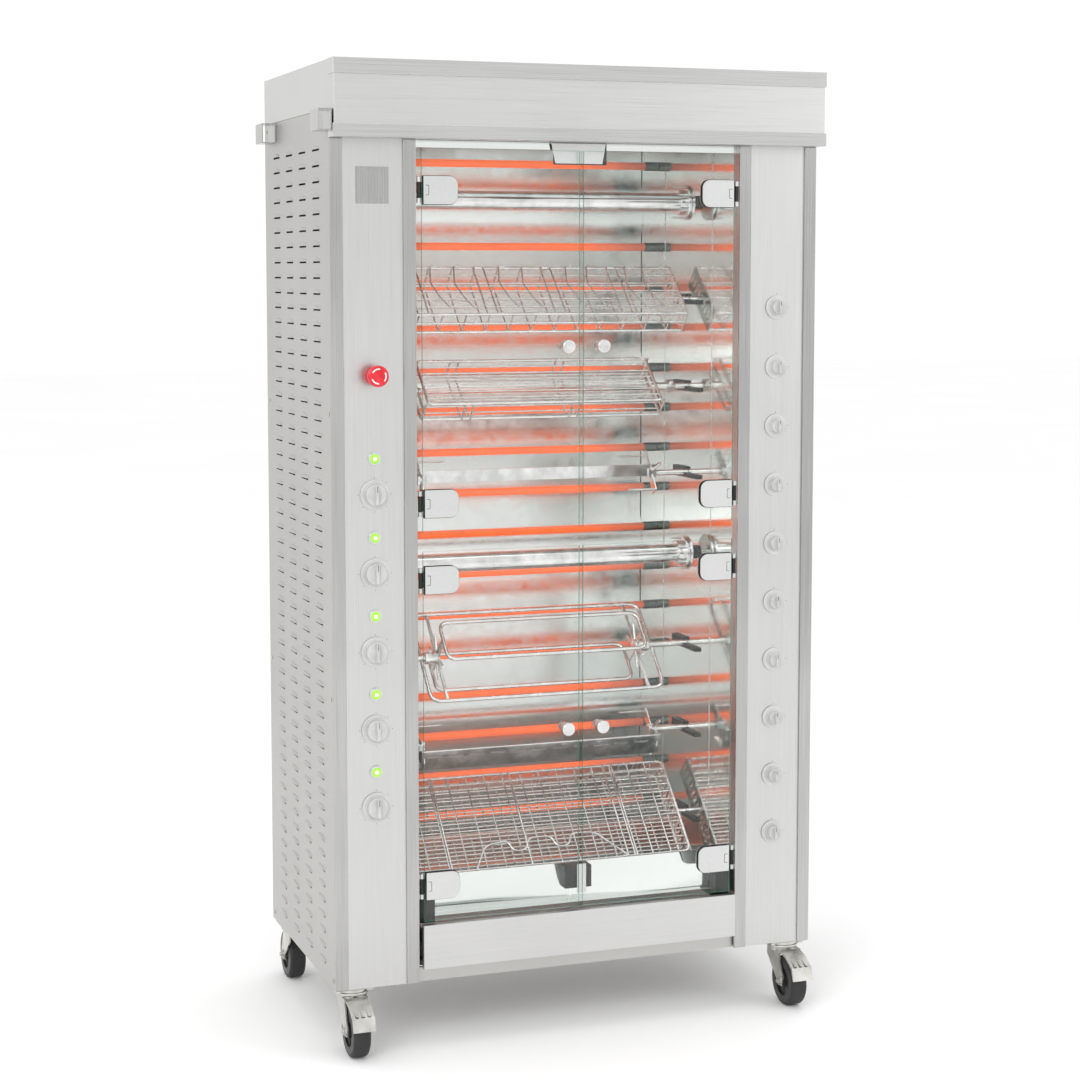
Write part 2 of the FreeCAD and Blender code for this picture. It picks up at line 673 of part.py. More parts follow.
def bar(low, high):
    """A block between two corners."""
    return Part.makeBox(*(high[i] - low[i] for i in range(3)), FreeCAD.Vector(*low))


def basket_shape(half_length, width, depth, long_wires, cross_wires, face_wires):
    """A closed box of straight wires about the X axis, width along Y and depth along Z, with
    end plates and a rod stub at either end. Cross wires lie half sunk in the long ones."""
    half_width, half_depth = width / 2, depth / 2
    frame, mesh = dim("wire"), dim("mesh_wire")
    wires = []
    for face in (-1, 1):
        z = face * (half_depth - frame / 2)
        for i in range(long_wires):
            y = -half_width + frame / 2 + i * (width - frame) / (long_wires - 1)
            size = frame / 2 if i in (0, long_wires - 1) else mesh / 2
            wires.append(bar((-half_length, y - size, z - size), (half_length, y + size, z + size)))
        for i in range(1, cross_wires + 1):
            x = -half_length + i * 2 * half_length / (cross_wires + 1)
            wires.append(bar((x - mesh / 2, -half_width, z - mesh / 2),
                             (x + mesh / 2, half_width, z + mesh / 2)))
    for side in (-1, 1):
        y = side * (half_width - frame / 2)
        for i in range(1, face_wires + 1):
            x = -half_length + i * 2 * half_length / (face_wires + 1)
            wires.append(bar((x - mesh / 2, y - mesh / 2, -half_depth),
                             (x + mesh / 2, y + mesh / 2, half_depth)))
        end = side * half_length
        low_x, high_x = min(end, end - side * 3), max(end, end - side * 3)
        wires.append(bar((low_x, -half_width, -half_depth), (high_x, half_width, half_depth)))
    return wires[0].multiFuse(wires[1:] + rod_stubs(half_length - 3))


def rod_stubs(start):
    """The square-cut ends of the rod, from start outward on either side."""
    stubs = []
    for side in (-1, 1):
        stubs.append(Part.makeCylinder(dim("rod_radius"), dim("rod_end") - start,
                                       FreeCAD.Vector(side * start, 0, 0), FreeCAD.Vector(side, 0, 0)))
    return stubs


def loop_shape(length, width, gauge, y, z):
    """A rectangular wire loop lying flat, its middle at y, z."""
    outer = bar((-length / 2, y - width / 2, z - gauge / 2), (length / 2, y + width / 2, z + gauge / 2))
    inner = bar((-length / 2 + gauge, y - width / 2 + gauge, z - gauge),
                (length / 2 - gauge, y + width / 2 - gauge, z + gauge))
    return outer.cut(inner)


def cradle_shape():
    """One large loop through the axis and a smaller one above and below it, on two end hubs."""
    gauge, rise, width = dim("cradle_wire"), dim("cradle_rise"), dim("cradle_width")
    small_half = dim("cradle_small_half")
    pieces = [loop_shape(2 * dim("cradle_half"), width, gauge, 0, 0)]
    for side in (-1, 1):
        pieces.append(loop_shape(2 * small_half, dim("cradle_small"), gauge, 0, side * rise))
        x = side * small_half - (gauge if side > 0 else 0)
        reach = rise + gauge / 2
        pieces.append(bar((x, -10, -reach), (x + gauge, 10, reach)))
        pieces.append(bar((x, 2 - width / 2, -2), (x + gauge, width / 2 - 2, 2)))
    return pieces[0].multiFuse(pieces[1:] + rod_stubs(small_half - gauge))


def bar_shape(width, wall, fork_reach):
    """An angle bar with a clamped fork plate and two tines near either end."""
    half_length = dim("short_load_half")
    pieces = []
    for angle in (-45, 45):
        near, far = (0, width) if angle > 0 else (-width, 0)
        leaf = bar((-half_length, near, -wall), (half_length, far, 0))
        leaf.rotate(FreeCAD.Vector(), FreeCAD.Vector(1, 0, 0), angle)
        leaf.translate(FreeCAD.Vector(0, 0, -width / 4))
        pieces.append(leaf)
    pieces.append(bar((-half_length, -wall, -width / 4 - wall * 2), (half_length, wall, -width / 4 + wall)))
    for side in (-1, 1):
        low_x, high_x = sorted((side * (half_length - 14), side * half_length))
        pieces.append(bar((low_x, -fork_reach * 0.9, -13), (high_x, fork_reach, 13)))
        for y in (4 - fork_reach * 0.9, fork_reach - 8):
            tine_low, tine_high = sorted((side * (half_length - 13), side * (half_length - 74)))
            pieces.append(bar((tine_low, y, -2), (tine_high, y + 4, 2)))
    return pieces[0].multiFuse(pieces[1:] + rod_stubs(half_length - 2))


def tube_spit(name):
    """A carrying tube with a collar near either end and a rod stub in each bearing."""
    stub = "(rod_end - load_half)"
    pieces = [rod(name + "Tube", "tube_spit_radius", "2 * load_half", "-load_half", "0", "0", ALONG_X)]
    for side_name, side in SIDES:
        collar_x = "load_half - collar_width + 6" if side > 0 else "-load_half - 6"
        stub_x = "load_half - 1" if side > 0 else "-rod_end"
        pieces.append(rod(f"{name}Collar{side_name}", "collar_radius", "collar_width", collar_x, "0", "0",
                          ALONG_X))
        pieces.append(rod(f"{name}Stub{side_name}", "rod_radius", f"{stub} + 1", stub_x, "0", "0", ALONG_X))
    bore = rod(name + "Bore", "tube_spit_radius - front_wall", "2 * load_half - 12", "-load_half + 6", "0",
               "0", ALONG_X)
    return less(name, joined(name + "Solid", pieces), [bore])


BASKETS = {
    "spit_2_hinged_basket": {
        "half": "load_half", "width": 140, "depth": 57, "long": 7, "cross": 7, "face": 9, "tilt": 43},
    "spit_3_long_basket": {
        "half": "short_load_half", "width": 129, "depth": 51, "long": 8, "cross": 3, "face": 3, "tilt": 41.4},
    "spit_8_flat_basket": {
        "half": "load_half", "width": 226, "depth": 60, "long": 12, "cross": 13, "face": 13, "tilt": 45},
}
BARS = {
    "spit_4_angle_bar": {"width": 26, "wall": 2.5, "fork": 46, "tilt": -130},
    "spit_7_trough_bar": {"width": 54, "wall": 2.5, "fork": 50, "tilt": -130},
}
CRADLE_TILT = 45


def shaped_spit(label, kind):
    """A spit whose wires or sheets are set as one shape, and the angle that it stands at."""
    obj = doc.addObject("Part::Feature", "".join(word.capitalize() for word in label.split("_")))
    if kind == "basket":
        form = BASKETS[label]
        obj.Shape = basket_shape(dim(form["half"]), form["width"], form["depth"], form["long"],
                                 form["cross"], form["face"])
        return obj, form["tilt"]
    if kind == "bar":
        form = BARS[label]
        obj.Shape = bar_shape(form["width"], form["wall"], form["fork"])
        return obj, form["tilt"]
    obj.Shape = cradle_shape()
    return obj, CRADLE_TILT


for index, (label, kind) in enumerate(SPITS):
    y, z = spit_axis(index)
    if kind == "tube":
        spit = tube_spit(f"TubeSpit{index}")
        tilt = 0
    else:
        spit, tilt = shaped_spit(label, kind)
    spit.Placement = FreeCAD.Placement(FreeCAD.Vector(), FreeCAD.Rotation(FreeCAD.Vector(1, 0, 0), tilt))
    put(spit, "0", y, z)
    node(spit, label)


# ---------------------------------------------------------------- doors

def door_glass(name, side, level):
    leaf = LEAVES[level]
    pane = box(name + "Pane", (mirrored(side, "hinge_x - glass_edge_gap"), mirrored(side, "leaf_gap_half")),
               (behind("-glass_thickness / 2"), behind("glass_thickness / 2")), (leaf["low"], leaf["top"]))
    hole = rod(name + "PullHole", "pull_stem + part_gap", "glass_thickness * 2", mirrored(side, "pull_x"),
               behind("-glass_thickness"), leaf["pull"], ALONG_Y)
    return less(name, pane, [hole])


def door_fittings(name, side, level):
    """Two hinge clamps, each an outer and an inner plate with a barrel, and the round pull."""
    solids = []
    face = "(glass_thickness / 2 + part_gap)"
    for i, z in enumerate(hinge_heights(level)):
        start = mirrored(side, "hinge_x - clamp_start")
        end = mirrored(side, "hinge_x - clamp_start - clamp_length")
        height = (f"{z} - clamp_height / 2", f"{z} + clamp_height / 2")
        tag = f"{name}Clamp{i}"
        solids.append(box(tag + "Outer", (start, end),
                          (behind(f"-{face} - clamp_plate"), behind(f"-{face}")), height))
        inner = box(tag + "Inner", (start, end), (behind(face), behind(f"{face} + clamp_plate + 2")), height)
        low = f"{z} - barrel_height / 2"
        barrel = rod(tag + "Barrel", "barrel_radius", "barrel_height", mirrored(side, "hinge_x"), behind("0"),
                     low, ALONG_Z)
        web = box(tag + "Web", (mirrored(side, "hinge_x - 2"), mirrored(side, "hinge_x - clamp_start - 1")),
                  (behind(face), behind(f"{face} + clamp_plate + 2")), (low, f"{low} + barrel_height"))
        neck = box(tag + "Neck", (mirrored(side, "hinge_x - 2.6"), mirrored(side, "hinge_x")),
                   (behind("0"), behind(f"{face} + clamp_plate + 2")), (low, f"{low} + barrel_height"))
        bore = rod(tag + "Bore", "pin_radius + running_gap", "barrel_height + 2", mirrored(side, "hinge_x"),
                   behind("0"), f"{low} - 1", ALONG_Z)
        solids.append(less(tag, joined(tag + "Solid", [inner, barrel, web, neck]), [bore]))
    x, z = mirrored(side, "pull_x"), LEAVES[level]["pull"]
    solids.append(joined(name + "Pull", [
        rod(name + "PullGrip", "pull_radius", "pull_length", x, behind(f"-{face} - pull_length"), z, ALONG_Y),
        rod(name + "PullStem", "pull_stem", f"2 * {face} + 2", x, behind(f"-{face} - 1"), z, ALONG_Y),
        rod(name + "PullNut", "pull_radius - 3", "5", x, behind(face), z, ALONG_Y),
    ]))
    return group(name, solids)


for level in LEAVES:
    for side_name, side in SIDES:
        label = f"{level}_{side_name}_door"
        title = level.capitalize() + side_name.capitalize()
        node(door_glass(title + "Glass", side, level), label + "_glass")
        node(door_fittings(title + "Fittings", side, level), label + "_fittings")

corner_blocks = [
    box(f"PivotBlock_{side_name}", (mirrored(side, "hinge_x + 1"), mirrored(side, "hinge_x - 30")),
        (behind("12"), behind("42")), ("pan_top + 20", "pan_top + 70"))
    for side_name, side in SIDES
]
top_catch = box("TopCatch", ("-54", "54"), (behind("6"), behind("11.7")),
                ("upper_leaf_top - 26", f"{SKIRT_LOW} - 1"))
low_catch = box("LowCatch", ("-28", "28"), (behind("12"), behind("43.7")), ("pan_top + 60", "pan_top + 104"))
node(group("DoorCatches", corner_blocks + [top_catch, low_catch]), "door_catches")


# ---------------------------------------------------------------- knobs, switches and emergency stop

def turning_knob(name, side, z, dial, grip):
    """A skirt, a round body, an upright grip bar and the shaft behind them."""
    x = mirrored(side, "control_x")
    skirt_face = "-(skirt_thickness + part_gap)"
    return joined(name, [
        rod(name + "Dial", dial, "skirt_thickness", x, behind(skirt_face), z, ALONG_Y),
        rod(name + "Body", grip, "grip_depth + 1", x, behind(f"{skirt_face} - grip_depth"), z, ALONG_Y),
        box(name + "Grip", (f"{x} - 4", f"{x} + 4"),
            (behind(f"{skirt_face} - grip_depth - 8"), behind(skirt_face)),
            (f"{z} - {grip} + 1", f"{z} + {grip} - 1")),
        rod(name + "Shaft", "shaft_radius", "shaft_length + 1", x, behind("-1"), z, ALONG_Y),
    ])


for i, z in enumerate(knob_heights):
    node(turning_knob(f"HeatKnob{i + 1}", -1, z, "dial_radius", "grip_radius"), f"heat_knob_{i + 1}")
for i, z in enumerate(switch_heights):
    node(turning_knob(f"SpitSwitch{i + 1}", 1, z, "switch_dial", "switch_grip"), f"spit_switch_{i + 1}")

stop_x = mirrored(-1, "control_x")
node(joined("StopButton", [
    rod("StopHead", "stop_radius", "stop_head", stop_x, behind("-stop_proud"), "stop_z", ALONG_Y),
    rod("StopStem", "stop_stem", "stop_proud + 30", stop_x, behind("-stop_proud + 1"), "stop_z", ALONG_Y),
]), "emergency_stop")


# ---------------------------------------------------------------- drip drawer

def drip_drawer():
    """A folded front on a deep pan."""
    front = box("DrawerFront", ("-drawer_half", "drawer_half"),
                (behind("-drawer_proud"), behind("-part_gap - trim_proud")), ("drawer_low", "drawer_top"))
    hollow = box("DrawerFrontHollow", ("-drawer_half + front_wall", "drawer_half - front_wall"),
                 (behind("-drawer_proud + front_wall"), behind("0")),
                 ("drawer_low + front_wall", "drawer_top - front_wall"))
    pan = box("PanBlock", ("-pan_half", "pan_half"), (behind("-drawer_proud + 1"), behind("pan_length")),
              ("pan_low", "pan_top"))
    pan_hollow = box("PanInside", ("-pan_half + sheet_wall", "pan_half - sheet_wall"),
                     (behind("-drawer_proud + front_wall"), behind("pan_length - sheet_wall")),
                     ("pan_low + sheet_wall", "pan_top + 1"))
    folded = less("DrawerFolded", front, [hollow])
    tray = less("DrawerTray", pan, [pan_hollow])
    return joined("DripDrawer", [folded, tray])


node(drip_drawer(), "drip_drawer")


# ---------------------------------------------------------------- side sleeves and electrical unit

def sleeve(name, side, depth, stand_off):
    """A strap bent into a square sleeve, open at both ends, stand_off away from the cabinet side."""
    wall = mirrored(side, f"cabinet_width / 2 + {stand_off}")
    out = mirrored(side, "cabinet_width / 2 + sleeve_reach")
    inner_out = mirrored(side, "cabinet_width / 2 + sleeve_reach - sleeve_wall")
    inner_in = mirrored(side, f"cabinet_width / 2 + {stand_off} + sleeve_wall")
    outer = box(name + "Outer", (wall, out), (behind(depth), behind(f"{depth} + sleeve_length")),
                ("sleeve_low", "sleeve_low + sleeve_height"))
    inner = box(name + "Inner", (inner_in, inner_out),
                (behind(f"{depth} - 1"), behind(f"{depth} + sleeve_length + 1")),
                ("sleeve_low + sleeve_wall", "sleeve_low + sleeve_height - sleeve_wall"))
    return less(name, outer, [inner])


sleeves = [sleeve("Sleeve_left_front", -1, "front_sleeve_depth", "band_side")]
for side_name, side in SIDES:
    sleeves.append(sleeve(f"Sleeve_{side_name}_rear", side, "rear_sleeve_depth", "0"))
node(group("SideSleeves", sleeves), "side_sleeves")

unit_x = ("-460", "-360")
plate = box("UnitPlate", unit_x, (behind("380"), behind("383")),
            ("cabinet_foot + 380", "cabinet_foot + 1000"))
contactors = [
    box(f"Contactor{i}", ("-455", "-395"), (behind("300"), behind("381")),
        (f"cabinet_foot + {400 + 90 * i}", f"cabinet_foot + {465 + 90 * i}"))
    for i in range(6)
]
terminal = box("TerminalRail", ("-390", "-364"), (behind("340"), behind("381")),
               ("cabinet_foot + 400", "cabinet_foot + 940"))
node(joined("ElectricalUnit", [plate, terminal] + contactors), "electrical_unit")


# ---------------------------------------------------------------- casters

def caster_fork(name, braked):
    """A swivel head and two legs that lean to the axle, drawn about the swivel axis, with a pin
    for the pedal on a braked one."""
    body = doc.addObject("PartDesign::Body", name + "Legs")
    profile = new_sketch(body, name + "Profile", "YZ_Plane")
    polygon(profile, "leg", [
        ("24", "fork_top - 14"), ("-28", "fork_top - 14"), ("-caster_trail - 13", "wheel_radius + 10"),
        ("-caster_trail - 11", "wheel_radius - 9"), ("-caster_trail + 9", "wheel_radius - 10"),
        ("-caster_trail + 15", "wheel_radius"), ("24", "fork_top - 34"),
    ])
    legs = body.newObject("PartDesign::Pad", name + "Pad")
    legs.Profile = profile
    legs.setExpression("Length", linked("fork_width"))
    legs.Midplane = True
    slot = box(name + "Slot", ("-fork_gap / 2", "fork_gap / 2"), ("-caster_trail - 60", "60"),
               ("0", "2 * wheel_radius + 4"))
    head = rod(name + "Head", "head_radius", "18", "0", "0", "fork_top - 18", ALONG_Z)
    pin = rod(name + "Pin", "king_pin", "12", "0", "0", "fork_top - 1", ALONG_Z)
    axle = rod(name + "Axle", "axle_radius", "fork_width", "-fork_width / 2", "-caster_trail",
               "wheel_radius", ALONG_X)
    pieces = [less(name + "Slotted", body, [slot]), head, pin, axle]
    if braked:
        pieces.append(rod(name + "PedalPin", "pedal_pin", "fork_width + 2", "-fork_width / 2 - 1",
                          "-caster_trail", "pedal_z", ALONG_X))
        for side_name, side in SIDES:
            pieces.append(box(f"{name}Ear{side_name}",
                              (mirrored(side, "fork_width / 2"), mirrored(side, "fork_width / 2 + 2")),
                              ("-caster_trail - 3.5", "-caster_trail + 16"),
                              ("pedal_z - 3.5", "pedal_z + 3.5")))
    return joined(name, pieces)


def caster_wheel(name):
    """A tyred wheel with a dished hub, drawn about the swivel axis."""
    half = "wheel_width / 2"
    solid = rod(name + "Tyre", "wheel_radius", "wheel_width", f"-{half}", "-caster_trail", "wheel_radius",
                ALONG_X)
    rounded = doc.addObject("Part::Fillet", name + "Round")
    rounded.Base = solid
    solid.recompute()
    rims = [i for i, e in enumerate(solid.Shape.Edges, 1) if isinstance(e.Curve, Part.Circle)]
    rounded.Edges = [(i, 6.0, 6.0) for i in rims]
    bore = rod(name + "Bore", "axle_radius + running_gap", "wheel_width + 2", f"-{half} - 1", "-caster_trail",
               "wheel_radius", ALONG_X)
    dishes = [
        rod(f"{name}Dish{i}", "wheel_radius * 0.6", "6", x, "-caster_trail", "wheel_radius", ALONG_X)
        for i, x in enumerate((f"-{half} - 1", f"{half} - 5"))
    ]
    bosses = [
        rod(f"{name}Boss{i}", "14", "6", x, "-caster_trail", "wheel_radius", ALONG_X)
        for i, x in enumerate((f"-{half} - 0.5", f"{half} - 5.5"))
    ]
    return less(name, joined(name + "Solid", [less(name + "Dished", rounded, dishes)] + bosses), [bore])


def brake_pedal(name):
    """A bent plate over the front of the wheel, its rear edge rolled round the pin by the head."""
    width = "(fork_width - 2 * part_gap)"
    body = doc.addObject("PartDesign::Body", name + "Plate")
    profile = new_sketch(body, name + "Profile", "YZ_Plane")
    polygon(profile, "plate", [
        ("-caster_trail", "pedal_z + 3.5"), ("-caster_trail", "pedal_z"), ("-62", "pedal_z - 6"),
        ("-88", "88"), ("-96", "66"), ("-100", "66"), ("-92", "91"), ("-64", "pedal_z - 2"),
    ])
    pad = body.newObject("PartDesign::Pad", name + "Pad")
    pad.Profile = profile
    pad.setExpression("Length", linked(width))
    pad.Midplane = True
    barrel = rod(name + "Barrel", "pedal_barrel", width, f"-{width} / 2", "-caster_trail", "pedal_z", ALONG_X)
    bore = rod(name + "Bore", "pedal_pin + running_gap", f"{width} + 2", f"-{width} / 2 - 1", "-caster_trail",
               "pedal_z", ALONG_X)
    return less(name, joined(name + "Solid", [body, barrel]), [bore])


HALF_TURN = {"front": 0, "rear": 180}


def stand(obj, side, end):
    """Puts a caster piece, drawn about its swivel axis, under its corner of the cabinet."""
    obj.Placement = FreeCAD.Placement(
        FreeCAD.Vector(), FreeCAD.Rotation(FreeCAD.Vector(0, 0, 1), HALF_TURN[end]))
    return put(obj, mirrored(side, "caster_x"), behind(f"{end}_swivel_depth"), "0")


for end in ("front", "rear"):
    for side_name, side in SIDES:
        title = end.capitalize() + side_name.capitalize()
        label = f"{end}_{side_name}_caster"
        node(stand(caster_fork(title + "Fork", end == "front"), side, end), label + "_fork")
        node(stand(caster_wheel(title + "Wheel"), side, end), label + "_wheel")
        if end == "front":
            node(stand(brake_pedal(title + "Brake"), side, end), label + "_brake")


# ---------------------------------------------------------------- check and export

doc.recompute()
failed = [o.Name for o in doc.Objects if "Invalid" in o.State or "Error" in o.State]
if failed:
    raise RuntimeError(f"these objects failed: {failed}")
for part in EXPORTS:
    if part.Shape.isNull() or not part.Shape.isValid() or not part.Shape.Solids:
        raise RuntimeError(f"{part.Label} has no valid solid")

os.makedirs("parts", exist_ok=True)
for part in EXPORTS:
    part.Shape.exportStep(f"parts/{part.Label}.step")
print(len(EXPORTS), "nodes")
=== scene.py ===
import json
import math
import bpy
from mathutils import Matrix, Vector


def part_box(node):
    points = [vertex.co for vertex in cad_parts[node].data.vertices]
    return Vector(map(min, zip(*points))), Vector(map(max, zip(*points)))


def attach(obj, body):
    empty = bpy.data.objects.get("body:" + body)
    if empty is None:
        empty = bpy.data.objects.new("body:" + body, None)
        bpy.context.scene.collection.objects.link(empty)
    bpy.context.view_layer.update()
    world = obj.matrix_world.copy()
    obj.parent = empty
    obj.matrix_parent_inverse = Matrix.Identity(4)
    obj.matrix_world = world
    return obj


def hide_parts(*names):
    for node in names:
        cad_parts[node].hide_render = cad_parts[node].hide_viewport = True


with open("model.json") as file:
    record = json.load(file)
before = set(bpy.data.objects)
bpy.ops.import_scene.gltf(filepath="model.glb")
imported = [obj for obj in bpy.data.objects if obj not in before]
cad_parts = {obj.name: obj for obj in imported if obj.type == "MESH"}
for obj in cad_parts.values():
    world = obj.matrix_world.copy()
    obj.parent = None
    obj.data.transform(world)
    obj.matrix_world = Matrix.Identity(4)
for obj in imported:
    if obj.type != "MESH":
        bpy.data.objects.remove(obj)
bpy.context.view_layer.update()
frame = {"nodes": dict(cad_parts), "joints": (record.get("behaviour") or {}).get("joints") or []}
JOINTS = {joint["name"]: joint for joint in frame["joints"]}
MM = 0.001

# Planes and lines that the pieces are set out from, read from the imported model.
HOOD_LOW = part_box("hood_shell")[0]
SIDE_LOW, SIDE_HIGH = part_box("side_panels")
LINER_LOW, LINER_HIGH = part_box("chamber_liner")
FRONT_Y = JOINTS["heat_knob_1_turn"]["pos_m"][1]
SIDE_X = SIDE_HIGH.x
WALL_X = LINER_HIGH.x - 1.5 * MM
CONTROL_X = 0.415



def ahead(distance):
    """The depth of a plane so many millimetres in front of the pillars."""
    return FRONT_Y - distance * MM


def inside(distance):
    """The depth of a plane so many millimetres behind the front of the pillars."""
    return FRONT_Y + distance * MM


def spun(angle, axis):
    """A turn about one axis, in degrees."""
    return Matrix.Rotation(math.radians(angle), 4, axis)


# ---------------------------------------------------------------- colours and finishes

def srgb(text):
    """A linear colour from its usual hex name."""
    parts = [int(text[i:i + 2], 16) / 255 for i in (0, 2, 4)]
    return tuple(p / 12.92 if p <= 0.04045 else ((p + 0.055) / 1.055) ** 2.4 for p in parts) + (1.0,)


class Finish:
    """A material under construction: its tree, its shader and short ways to add the usual nodes."""

    def __init__(self, name, colour, metallic=0.0, roughness=0.5, ior=1.5):
        self.material = bpy.data.materials.new(name)
        self.material.use_nodes = True
        self.tree = self.material.node_tree
        self.shader = self.tree.nodes["Principled BSDF"]
        self.shader.inputs["Base Color"].default_value = srgb(colour)
        self.shader.inputs["Metallic"].default_value = metallic
        self.shader.inputs["Roughness"].default_value = roughness
        if metallic < 0.5:
            self.shader.inputs["IOR"].default_value = ior
        self.place = self.tree.nodes.new("ShaderNodeTexCoord").outputs["Object"]

    def node(self, kind, **values):
        made = self.tree.nodes.new(kind)
        for key, value in values.items():
            if hasattr(made, key):
                setattr(made, key, value)
            else:
                made.inputs[key.replace("_", " ").title()].default_value = value
        return made

    def link(self, start, end):
        self.tree.links.new(start, end)

    def stretched(self, scale):
        """Object coordinates scaled differently along each axis, for a brushed grain."""
        mapping = self.node("ShaderNodeMapping")
        mapping.inputs["Scale"].default_value = scale
        self.link(self.place, mapping.inputs["Vector"])
        return mapping.outputs["Vector"]

    def noise(self, scale, detail=3.0, vector=None, roughness=0.5):
        made = self.node("ShaderNodeTexNoise")
        made.inputs["Scale"].default_value = scale
        made.inputs["Detail"].default_value = detail
        made.inputs["Roughness"].default_value = roughness
        self.link(vector or self.place, made.inputs["Vector"])
        return made.outputs["Fac"]

    def ramp(self, value, low, high, start=0.3, stop=0.7):
        """value spread between two greys or two colours."""
        made = self.node("ShaderNodeValToRGB")
        first, last = made.color_ramp.elements
        first.position, last.position = start, stop
        first.color = srgb(low) if isinstance(low, str) else (low, low, low, 1.0)
        last.color = srgb(high) if isinstance(high, str) else (high, high, high, 1.0)
        self.link(value, made.inputs["Fac"])
        return made.outputs["Color"]

    def bump(self, height, distance, strength=1.0):
        made = self.node("ShaderNodeBump")
        made.inputs["Strength"].default_value = strength
        made.inputs["Distance"].default_value = distance
        self.link(height, made.inputs["Height"])
        self.link(made.outputs["Normal"], self.shader.inputs["Normal"])

    def drive(self, socket, value):
        self.link(value, self.shader.inputs[socket])


def brushed(name, dark, light, rough, grain, scratch=0.00002):
    """Stainless sheet with a grain: fine streaks in the gloss and the tone, and soft cloudiness."""
    steel = Finish(name, light, metallic=1.0, roughness=rough)
    streaks = steel.noise(1.0, 4.0, steel.stretched(grain), 0.65)
    clouds = steel.noise(3.0, 2.0)
    mixed = steel.node("ShaderNodeMix", data_type="FLOAT")
    mixed.inputs["Factor"].default_value = 0.35
    steel.link(streaks, mixed.inputs[2])
    steel.link(clouds, mixed.inputs[3])
    steel.drive("Base Color", steel.ramp(mixed.outputs[0], dark, light))
    steel.drive("Roughness", steel.ramp(streaks, rough * 0.8, rough * 1.25))
    steel.bump(streaks, scratch, 0.5)
    return steel.material


def polished(name, dark, light, rough, ripple):
    """Sheet polished nearly to a mirror, with the slow ripple of thin metal."""
    steel = Finish(name, light, metallic=1.0, roughness=rough)
    slow = steel.noise(2.5, 1.5)
    fine = steel.noise(60.0, 3.0)
    steel.drive("Base Color", steel.ramp(slow, dark, light))
    steel.drive("Roughness", steel.ramp(fine, rough * 0.75, rough * 1.35))
    steel.bump(slow, ripple, 1.0)
    return steel.material


def plated(name, dark, light, rough):
    """Bright plated or drawn steel wire, a little duller where it has been handled."""
    metal = Finish(name, light, metallic=1.0, roughness=rough)
    wear = metal.noise(38.0, 5.0)
    metal.drive("Base Color", metal.ramp(wear, dark, light))
    metal.drive("Roughness", metal.ramp(wear, rough * 0.7, rough * 1.6))
    metal.bump(metal.noise(900.0, 2.0), 0.00001, 0.4)
    return metal.material


def moulded(name, dark, light, rough, grain=1400.0, ior=1.5):
    """Moulded plastic or rubber with a fine pebbled skin and slight tone changes."""
    skin = Finish(name, light, roughness=rough, ior=ior)
    tone = skin.noise(45.0, 4.0)
    skin.drive("Base Color", skin.ramp(tone, dark, light))
    skin.drive("Roughness", skin.ramp(tone, rough * 0.85, rough * 1.15))
    skin.bump(skin.noise(grain, 2.0), 0.00002, 0.5)
    return skin.material


def glass(name, colour, alpha, rough):
    """Toughened glass: a clear pane with a faint bloom of handling marks."""
    pane = Finish(name, colour, roughness=rough, ior=1.52)
    pane.shader.inputs["Alpha"].default_value = alpha
    pane.drive("Roughness", pane.ramp(pane.noise(9.0, 4.0), rough * 0.5, rough * 1.6))
    pane.material.surface_render_method = "BLENDED"
    return pane.material


def glowing(name, body, glow, cool, strength, hot_half, end_half):
    """A sheathed element: glowing along its middle, fading through rose to grey near both ends."""
    element = Finish(name, body, roughness=0.55, ior=1.6)
    axes = element.node("ShaderNodeSeparateXYZ")
    element.link(element.place, axes.inputs["Vector"])
    away = element.node("ShaderNodeMath", operation="ABSOLUTE")
    element.link(axes.outputs["X"], away.inputs[0])
    spread = element.node("ShaderNodeMapRange")
    spread.inputs["From Min"].default_value = hot_half
    spread.inputs["From Max"].default_value = end_half
    element.link(away.outputs[0], spread.inputs["Value"])
    blotch = element.noise(24.0, 3.0)
    tinted = element.node("ShaderNodeMix", data_type="RGBA")
    tinted.inputs["A"].default_value = srgb(glow)
    tinted.inputs["B"].default_value = srgb(cool)
    element.link(spread.outputs["Result"], tinted.inputs["Factor"])
    element.drive("Emission Color", tinted.outputs["Result"])
    element.drive("Base Color", element.ramp(blotch, body, glow))
    fade = element.node("ShaderNodeMapRange")
    fade.inputs["From Min"].default_value = hot_half
    fade.inputs["From Max"].default_value = end_half
    fade.inputs["To Min"].default_value = strength
    fade.inputs["To Max"].default_value = strength * 0.12
    element.link(away.outputs[0], fade.inputs["Value"])
    element.drive("Emission Strength", fade.outputs["Result"])
    return element.material


# Front sheet: number 4 brushed stainless, grain upright on the pillars and level on the hood.
PILLAR_STEEL = brushed("stainless_brushed_upright", "c4c4c3", "d2d2d1", 0.34, (900.0, 900.0, 6.0))
HOOD_STEEL = brushed("stainless_brushed_level", "c4c4c3", "d2d2d1", 0.33, (6.0, 900.0, 900.0))
# Side sheet: the same stainless, rolled with a flatter finish; its colour is painted greyer and darker than
# the front sheet as painted shade on the faces turned away from the light.
SIDE_STEEL_PAINTED_SHADE = brushed("stainless_side_sheet_painted_shade", "b4b3b0", "c4c3c0", 0.42, (900.0, 6.0, 900.0))
# Edge strips: bright-polished stainless with a grain whose streaks run from dark to light grey, partly real
# grain and partly painted reflection bands.
TRIM_STEEL_GRAIN_AND_PAINTED_REFLECTION = brushed("stainless_bright_strip_painted_reflection", "9c9c9b", "c6c6c5", 0.17, (900.0, 900.0, 4.0))
BAND_STEEL_GRAIN_AND_PAINTED_REFLECTION = brushed("stainless_bright_band_painted_reflection", "b2b2b1", "d2d2d1", 0.17, (4.0, 900.0, 900.0))
